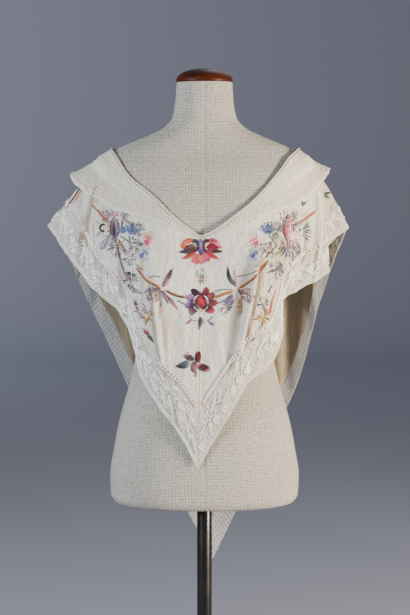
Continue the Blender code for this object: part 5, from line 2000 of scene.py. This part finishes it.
class Embroidery:
    """The coloured silk embroidery of the panels, the whitework of the border and the whipped seams."""

    steepest = 0.28
    front_level, back_level = 0.990, 0.975
    white_pitch = 0.0009
    centre_edges, centre_reach, centre_step = (-0.085, 0.085), 0.022, 0.0026
    worked_from = 0.62
    whip_step, bar_step = 0.0016, 0.0065
    cord_offsets = (0.7, 1.5)

    def __init__(self, cape: CapeSurface, weaver: Weaver, finishes: Finishes) -> None:
        """Gathers the outer face of the cloth that the weaver made, for the needle to meet."""
        self.cape, self.weaver, self.finishes = cape, weaver, finishes
        points, faces = [], []
        self.workable: list[bool] = []
        for grid, grid_of_faces, workable in weaver.outer:
            offset = sum(len(p) for p in points)
            points.append(grid.reshape(-1, 3))
            faces += [tuple(corner + offset for corner in face) for face in grid_of_faces]
            self.workable += [workable] * len(grid_of_faces)
        self.cloth = BVHTree.FromPolygons([tuple(p) for p in np.concatenate(points)], faces)

    def cast(self, start: Vector, way: Vector) -> tuple[Array, Array]:
        """The point of the cloth that a line meets first and its normal, or not-a-number."""
        hit, normal, index, _ = self.cloth.ray_cast(start, way)
        if hit is None or not self.workable[index] or abs(normal.dot(way)) < self.steepest:
            return np.full(3, np.nan), np.full(3, np.nan)
        return np.array(hit), np.array(normal if normal.dot(way) < 0 else -normal)

    def lay(self, places: Array, level: float, hand: int) -> tuple[Array, Array]:
        """Millimetres of the pattern laid straight on to one side of the cloth.

        Args:
            places: Distances right of the centre line and above the pattern's level.
            level: Height of that level in metres.
            hand: 1 for the front, or -1 for the back, where right and left change places.

        Returns:
            Points and normals, not-a-number beside the cloth.
        """
        found = [self.cast(Vector((hand * across * 0.001, -hand, level + up * 0.001)), Vector((0, hand, 0)))
                 for across, up in places]
        return np.array([f[0] for f in found]), np.array([f[1] for f in found])

    def on_cloth(self, at: Array, distance: Array) -> tuple[Array, Array]:
        """Points and normals on the outer face at places round the ring and distances from the neckline."""
        return self.cape.place(at, distance, self.weaver.middle + self.weaver.thickness / 2)

    def hem(self, places: Array) -> tuple[Array, Array]:
        """Places round the ring, and distances from the hem in millimetres, laid on the border."""
        return self.on_cloth(places[:, 0], self.cape.hem(places[:, 0]) - places[:, 1] * 0.001)

    def ring_place(self, places: Array) -> tuple[Array, Array]:
        """Places round the ring and distances from the neckline, laid on the panels."""
        return self.on_cloth(places[:, 0], places[:, 1])

    def work(self, name: str, level: float, hand: int, seed: int) -> bpy.types.Object:
        """The whole coloured pattern laid on one side of the cape.

        Args:
            name: Name of the piece.
            level: Height of the pattern's level in metres.
            hand: 1 for the front, or -1 for the back.
            seed: Start of the random draws.

        Returns:
            The new object.
        """
        silk = Needlework(name, partial(self.lay, level=level, hand=hand), 0.001, self.finishes.silk, seed)
        for stem in STEMS:
            start, end = np.array(stem.start, float), np.array(stem.end, float)
            run = end - start
            middle = (start + end) / 2 + quarter_turn(run) / np.linalg.norm(run) * stem.bow
            silk.stroke(stem.outline, (start, middle, end), stem.half_width, shades(stem.colours))
        for spot in SPOTS:
            silk.motif(spot)
        return silk.build()

    def build(self) -> list[bpy.types.Object]:
        """Both sides' coloured silk, the whitework of each border, the whipped seams and the nets' hems."""
        made = [self.work("silk_front", self.front_level, 1, 11),
                self.work("silk_back", self.back_level, -1, 12)]
        for seed, (side, ends) in enumerate(self.weaver.border_ends().items(), 21):
            made.append(Whitework(self, f"whitework_{side}", *ends, seed).build())
        made += [self.whipping(side) for side in ("left", "right")]
        made.append(self.centre_whipping())
        made += [self.net_hem(side, *ends) for side, ends in self.weaver.net_ends().items()]
        return made

    def white_work(self, name: str, lay: Callable[[Array], tuple[Array, Array]], scale: float, seed: int,
                   dye: Pair) -> Needlework:
        """Starts a piece of needlework in white thread, with the values that Needlework takes."""
        return Needlework(name, lay, scale, self.finishes.white_thread, seed, self.white_pitch, dye)

    def centre_whipping(self) -> bpy.types.Object:
        """Short stitches over the two edges of the centre openwork, wider and rosier in its worked foot."""
        white = self.white_work("whipping_centre", self.ring_place, 1.0, 31, (0.90, 1.05))
        plain, rosy = self.whipping_tone() * 0.92, shades("PEACH")[0]
        foot = float(self.cape.seam([0.0])[0])
        for distance in np.arange(self.weaver.cloth_start, foot - 0.002, self.centre_step):
            colour, width = (rosy, 0.0013) if distance / foot > self.worked_from else (plain, 0.0008)
            for edge in self.centre_edges:
                white.thread((edge - self.centre_reach, distance),
                             (edge + self.centre_reach, distance + 0.0012), colour, width, 0.0003)
        return white.build()

    @staticmethod
    def whipping_tone() -> Array:
        """The warm white of the whipping."""
        return 0.7 * shades("WHITE")[0] + 0.3 * shades("PEACH")[0]

    def whipping(self, side: str) -> bpy.types.Object:
        """Slanted stitches over the two edges of a front side's openwork, and a bar between its slits."""
        white = self.white_work(f"whipping_{side}", self.ring_place, 1.0, 31, (0.90, 1.05))
        tone, room = self.whipping_tone(), self.weaver.insertion_width
        at, low = self.weaver.openwork_route(side)
        run = travelled(self.cape.place(at, low + room / 2, 0.0)[0])

        def across(where: float, share: float) -> Pair:
            """A place on the strip, a distance along it and a share of its width down."""
            place = float(np.interp(where, run, at))
            return place, float(np.interp(place, at, low)) + share * room

        for where in np.arange(0.001, run[-1] - 0.002, self.whip_step):
            for edge in (0.12, 0.88):
                white.thread(across(where, edge - 0.13), across(where + self.whip_step, edge + 0.13), tone,
                             0.0017, 0.0014)
        for where in np.arange(0.39, run[-1] / self.bar_step - 1) * self.bar_step:
            white.thread(across(where - 0.0007, 0.18), across(where + 0.0007, 0.82), tone, 0.0030, 0.0007)
        return white.build()

    def net_hem(self, side: str, start: float, end: float) -> bpy.types.Object:
        """A narrow corded edge along the hem of the net, between two places round the ring."""
        cord = self.white_work(f"net_hem_{side}", self.hem, 0.001, 41, (0.55, 1.00))
        tone = shades("WHITE")[0] * 0.85
        at = self.weaver.columns(start, end, 60)
        for first, second in zip(at, at[1:]):
            for offset in self.cord_offsets:
                cord.thread((first, offset), (second, offset), tone, 0.0012, 0.0004)
        return cord.build()


class Whitework:
    """White embroidery along a stretch of the border: sprays, rings, curls, flowers and a scalloped hem.

    Sizes are in millimetres. A height that is a share is one of the border's width.
    """

    pitch = 78.0
    most_grown = 1.1
    spray_stitches = 10
    # Each by its distance along, its height as a share or else above the low line, its turn and its length
    sprays = ((-32, 0, 0, 0.85, 30), (-6, 0, 2, 1.15, 26), (12, 0.62, 0, -0.55, 26), (20, 0, 0, 0.80, 27),
              (-22, 0.74, 0, -0.45, 22), (36, 0.80, 0, -0.8, 18))
    rings = ((-3, 0.34, 4.6), (27, 0.28, 3.4), (-33, 0.72, 3.2), (8, 0.80, 3.6), (-18, 0.50, 3.0))
    curls = ((4, 0.66, 9.0, 1), (-18, 0.70, 7.0, -1), (33, 0.55, 7.5, 1), (-36, 0.40, 7.0, 1))
    # How dark the threads are that stand for painted shade in the grooves
    groove_share = (0.26, 0.20, 0.13)
    hem_step, scallop_pitch = 1.15, 26.0

    def __init__(self, owner: Embroidery, name: str, start: float, end: float, seed: int) -> None:
        """Starts the whitework of a stretch of the border.

        Args:
            owner: The embroidery that it is part of.
            name: Name of the piece.
            start: Its first place round the ring.
            end: Its last place.
            seed: Start of the random draws.
        """
        self.owner, cape = owner, owner.cape
        self.at = np.linspace(start, end, 400)
        self.run = travelled(cape.place(self.at, cape.lengths(self.at) - 0.020, 0.0)[0]) * 1000
        self.white = owner.white_work(name, self.lay, 0.001, seed, (0.90, 1.12))
        self.tone = shades("WHITE WHITE")
        # A darkened grey thread beside the white stitches: painted shade of the grooves between them
        self.groove = shades("ASH")[0] * np.array(self.groove_share)

    def lay(self, places: Array) -> tuple[Array, Array]:
        """Millimetres along the border and from its hem, laid on the cloth."""
        inside = np.clip(places[:, 0], 0, self.run[-1])
        at = np.interp(inside, self.run, self.at)
        return self.owner.hem(np.stack([at, np.maximum(places[:, 1], 0.3)], axis=1))

    def width(self, along: float) -> float:
        """Width of the border in millimetres at a distance along it."""
        at = np.interp(along, self.run, self.at)
        return float(self.owner.cape.trim("edging", [at])[0]) * 1000

    def spray(self, along: float, up: float, turn: float, size: float) -> None:
        """A feathered leaf of stitches that spread from its stem.

        Args:
            along: Distance of its foot along the border.
            up: Distance of its foot from the hem.
            turn: The way it grows.
            size: Its length.
        """
        way = heading(turn)
        cross = quarter_turn(way)
        foot = np.array([along, up])
        self.white.line([foot, foot + way * size * 0.5 + cross * size * 0.06, foot + way * size], 0.0009,
                        self.tone)
        for index in range(self.spray_stitches):
            share = 0.06 + 0.94 * index / (self.spray_stitches - 1)
            joint = foot + way * size * share + cross * size * 0.24 * share * (1 - share)
            reach = size * 0.30 * math.sin(math.pi * (0.15 + 0.75 * share))
            for side in (-1, 1):
                tip = joint + (way * 0.8 + cross * side * 0.75) * reach
                self.white.thread(joint, tip, self.tone[0], 0.0012, 0.0011)
                # A dark thread beside each stitch: painted shade of its groove
                self.white.thread(joint + way * 1.3, tip + way * 1.2, self.groove, 0.0013, 0.0008)

    def ring(self, along: float, up: float, radius: float) -> None:
        """A corded ring with stitches across it and, inside them, a dark thread as painted shade of a groove.
        """
        centre = np.array([along, up])
        for turn in np.linspace(0, 2 * math.pi, 26)[:-1]:
            way = heading(turn)
            self.white.thread(centre + way * (radius - 1.1), centre + way * (radius + 1.1), self.tone[0],
                              0.0010, 0.0010)
            self.white.thread(centre + way * (radius - 1.9), centre + way * (radius - 1.1), self.groove,
                              0.0009, 0.0005)

    def curl(self, along: float, up: float, size: float, hand: int) -> None:
        """A curled tendril of fine stitches, turning to the left for a hand of 1 and else to the right."""
        points = [(along + hand * size * (1 - share) * math.cos(share * 7.2),
                   up + size * (1 - share) * math.sin(share * 7.2)) for share in np.linspace(0, 0.86, 16)]
        self.white.line(points, 0.0013, self.tone)
        # A dark line beside the curl: painted shade of a groove
        self.white.line([(across + 1.1, up_from - 0.9) for across, up_from in points], 0.0008, [self.groove])

    def bloom(self, along: float, up: float, size: float) -> None:
        """A small flower of five satin petals, with a dark thread between each two as painted shade of a
        groove.
        """
        centre = np.array([along, up])
        for index in range(5):
            turn = index * 2 * math.pi / 5 + 0.4
            way, between = heading(turn), heading(turn + 0.63)
            self.white.band(LEAF, (centre + way * size * 0.25, centre + way * size), size * 0.26, self.tone)
            self.white.thread(centre + between * size * 0.2, centre + between * size * 0.9, self.groove,
                              0.0012, 0.0008)

    def repeat(self, at: float, step: float) -> None:
        """One repeat of the pattern.

        Args:
            at: Its middle along the border.
            step: Its length.
        """
        room = self.width(at)
        low = 9 + 0.08 * room
        grown = min(step / self.pitch, self.most_grown)
        for along, share, above, turn, size in self.sprays:
            turn += self.white.draw.uniform(-0.12, 0.12)
            self.spray(at + along, room * share if share else low + above, turn, size * grown)
        for along, share, radius in self.rings:
            self.ring(at + along, room * share, radius)
        for along, share, size, hand in self.curls:
            self.curl(at + along, room * share, size, hand)
        self.bloom(at + 18, low + 5, 6.4)
        self.bloom(at - 12, room * 0.80, 5.2)
        wave = [(at - step / 2 + step * share, room * (0.50 + 0.16 * math.sin(2 * math.pi * share)))
                for share in np.linspace(0, 1, 13)]
        self.white.line(wave, 0.0012, self.tone)
        # A dark line under the wave: painted shade of a groove
        self.white.line([(across, up - 1.5) for across, up in wave], 0.0009, [self.groove])
        dots = Stroke(KNOT, "", room * 0.34, -step * 0.46, step * 0.46, 0, 26)
        self.white.knots(dots, lambda across, up: np.array([at + across, room * 0.5 + up]), self.tone)

    def build(self) -> bpy.types.Object:
        """The stitches of this stretch of the border: whole repeats, and two rows along its hem."""
        total = self.run[-1]
        repeats = max(1, round(total / self.pitch))
        for index in range(repeats):
            self.repeat((index + 0.5) * (total / repeats), total / repeats)
        for where in np.arange(0.8, total - 0.8, self.hem_step):
            lift = 4.6 + 2.4 * abs(math.sin(math.pi * ((where / self.scallop_pitch) % 1.0)))
            self.white.thread((where - 0.4, lift - 1.1), (where + 0.7, lift + 1.1), self.tone[0], 0.0008,
                              0.0005)
            self.white.thread((where - 0.6, 0.35), (where + 0.6, 1.3), self.tone[0], 0.0011, 0.0003)
        return self.white.build()


class Lamp(NamedTuple):
    """A square soft lamp, aimed at a point."""

    name: str
    place: Triple
    aim: Triple
    size: float
    power: float
    colour: Triple

    def build(self) -> None:
        """Makes the lamp."""
        data = bpy.data.lights.new(self.name, "AREA")
        data.shape = "SQUARE"
        data.size = self.size
        data.energy = self.power
        data.color = self.colour
        lamp = bpy.data.objects.new(self.name, data)
        lamp.location = self.place
        lamp.rotation_euler = (Vector(self.aim) - Vector(self.place)).to_track_quat("-Z", "Y").to_euler()
        bpy.context.scene.collection.objects.link(lamp)


@dataclass
class Studio:
    """A plain pale sweep under soft light."""

    half_width: float = 9.0
    front: float = -9.0
    bend_at: float = 6.5
    bend_radius: float = 2.5
    wall_top: float = 9.0
    sweep_colour: Colour = (138, 141, 157)
    middle: Triple = (0.0, 0.0, 0.85)
    glow: tuple[float, ...] = (0.84, 0.86, 0.92, 1)
    glow_strength: float = 0.32

    def sweep(self) -> bpy.types.Object:
        """The floor and the wall behind it as one curved sheet."""
        profile = [(self.front, 0.0), (self.bend_at, 0.0)]
        bend = self.bend_radius
        profile += [(self.bend_at + bend * math.sin(turn), bend * (1 - math.cos(turn)))
                    for turn in np.linspace(0, math.pi / 2, 24)[1:]]
        profile.append((self.bend_at + bend, self.wall_top))
        points = [(x, y, z) for x in (-self.half_width, self.half_width) for y, z in profile]
        count = len(profile)
        mesh = bpy.data.meshes.new("studio_sweep")
        mesh.from_pydata(points, [], [(k, count + k, count + k + 1, k + 1) for k in range(count - 1)])
        mesh.shade_smooth()
        material, g, shader = new_material("pale_sweep")
        g.give(shader, {"Base Color": linear(*self.sweep_colour), "Roughness": 0.9})
        mesh.materials.append(material)
        floor = bpy.data.objects.new("studio_sweep", mesh)
        bpy.context.scene.collection.objects.link(floor)
        floor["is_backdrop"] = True
        return floor

    def build(self) -> None:
        """Floor, lamps and a faint even glow."""
        self.sweep()
        for lamp in (
            Lamp("key", (-2.1, -1.7, 1.25), self.middle, 0.7, 110.0, (0.90, 0.96, 1.0)),
            Lamp("warm_side", (2.25, -1.15, 0.65), self.middle, 0.6, 208.0, (1.0, 0.86, 0.66)),
            Lamp("rear", (0.6, 1.7, 2.6), self.middle, 1.2, 12.0, (1.0, 1.0, 1.0)),
            Lamp("backdrop", (-4.5, 4.5, 2.6), (-2.6, 9.0, 1.6), 1.5, 130.0, (0.92, 0.95, 1.0)),
        ):
            lamp.build()
        world = bpy.data.worlds.new("studio")
        world.use_nodes = True
        background = world.node_tree.nodes["Background"]
        background.inputs["Color"].default_value = self.glow
        background.inputs["Strength"].default_value = self.glow_strength
        bpy.context.scene.world = world


def main() -> None:
    """Builds the studio, the form, its stand and the cape."""
    logging.basicConfig(level=logging.INFO, format="%(name)s: %(message)s")
    bpy.ops.object.select_all(action="DESELECT")
    Viewpoint().build()
    Studio().build()
    finishes = Finishes()
    form = DressForm()
    for piece in (*Stand().build(finishes), *form.build(finishes)):
        LOG.info("built %s", piece.name)
    cape = CapeSurface(form)
    weaver = Weaver(cape, finishes)
    cloth = weaver.build()
    for piece in (*cloth.values(), *Embroidery(cape, weaver, finishes).build()):
        LOG.info("built %s with %d points", piece.name, len(piece.data.vertices))


def write_sizes() -> None:
    """Works out the boxes of the solids and of the visual model; nothing is written."""
    boxes = {name: [list(map(float, corner)) for corner in box]
             for name, box in (("cad", CAD_BOX), ("visual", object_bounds()))}


if __name__ == "__main__":
    main()
    write_sizes()
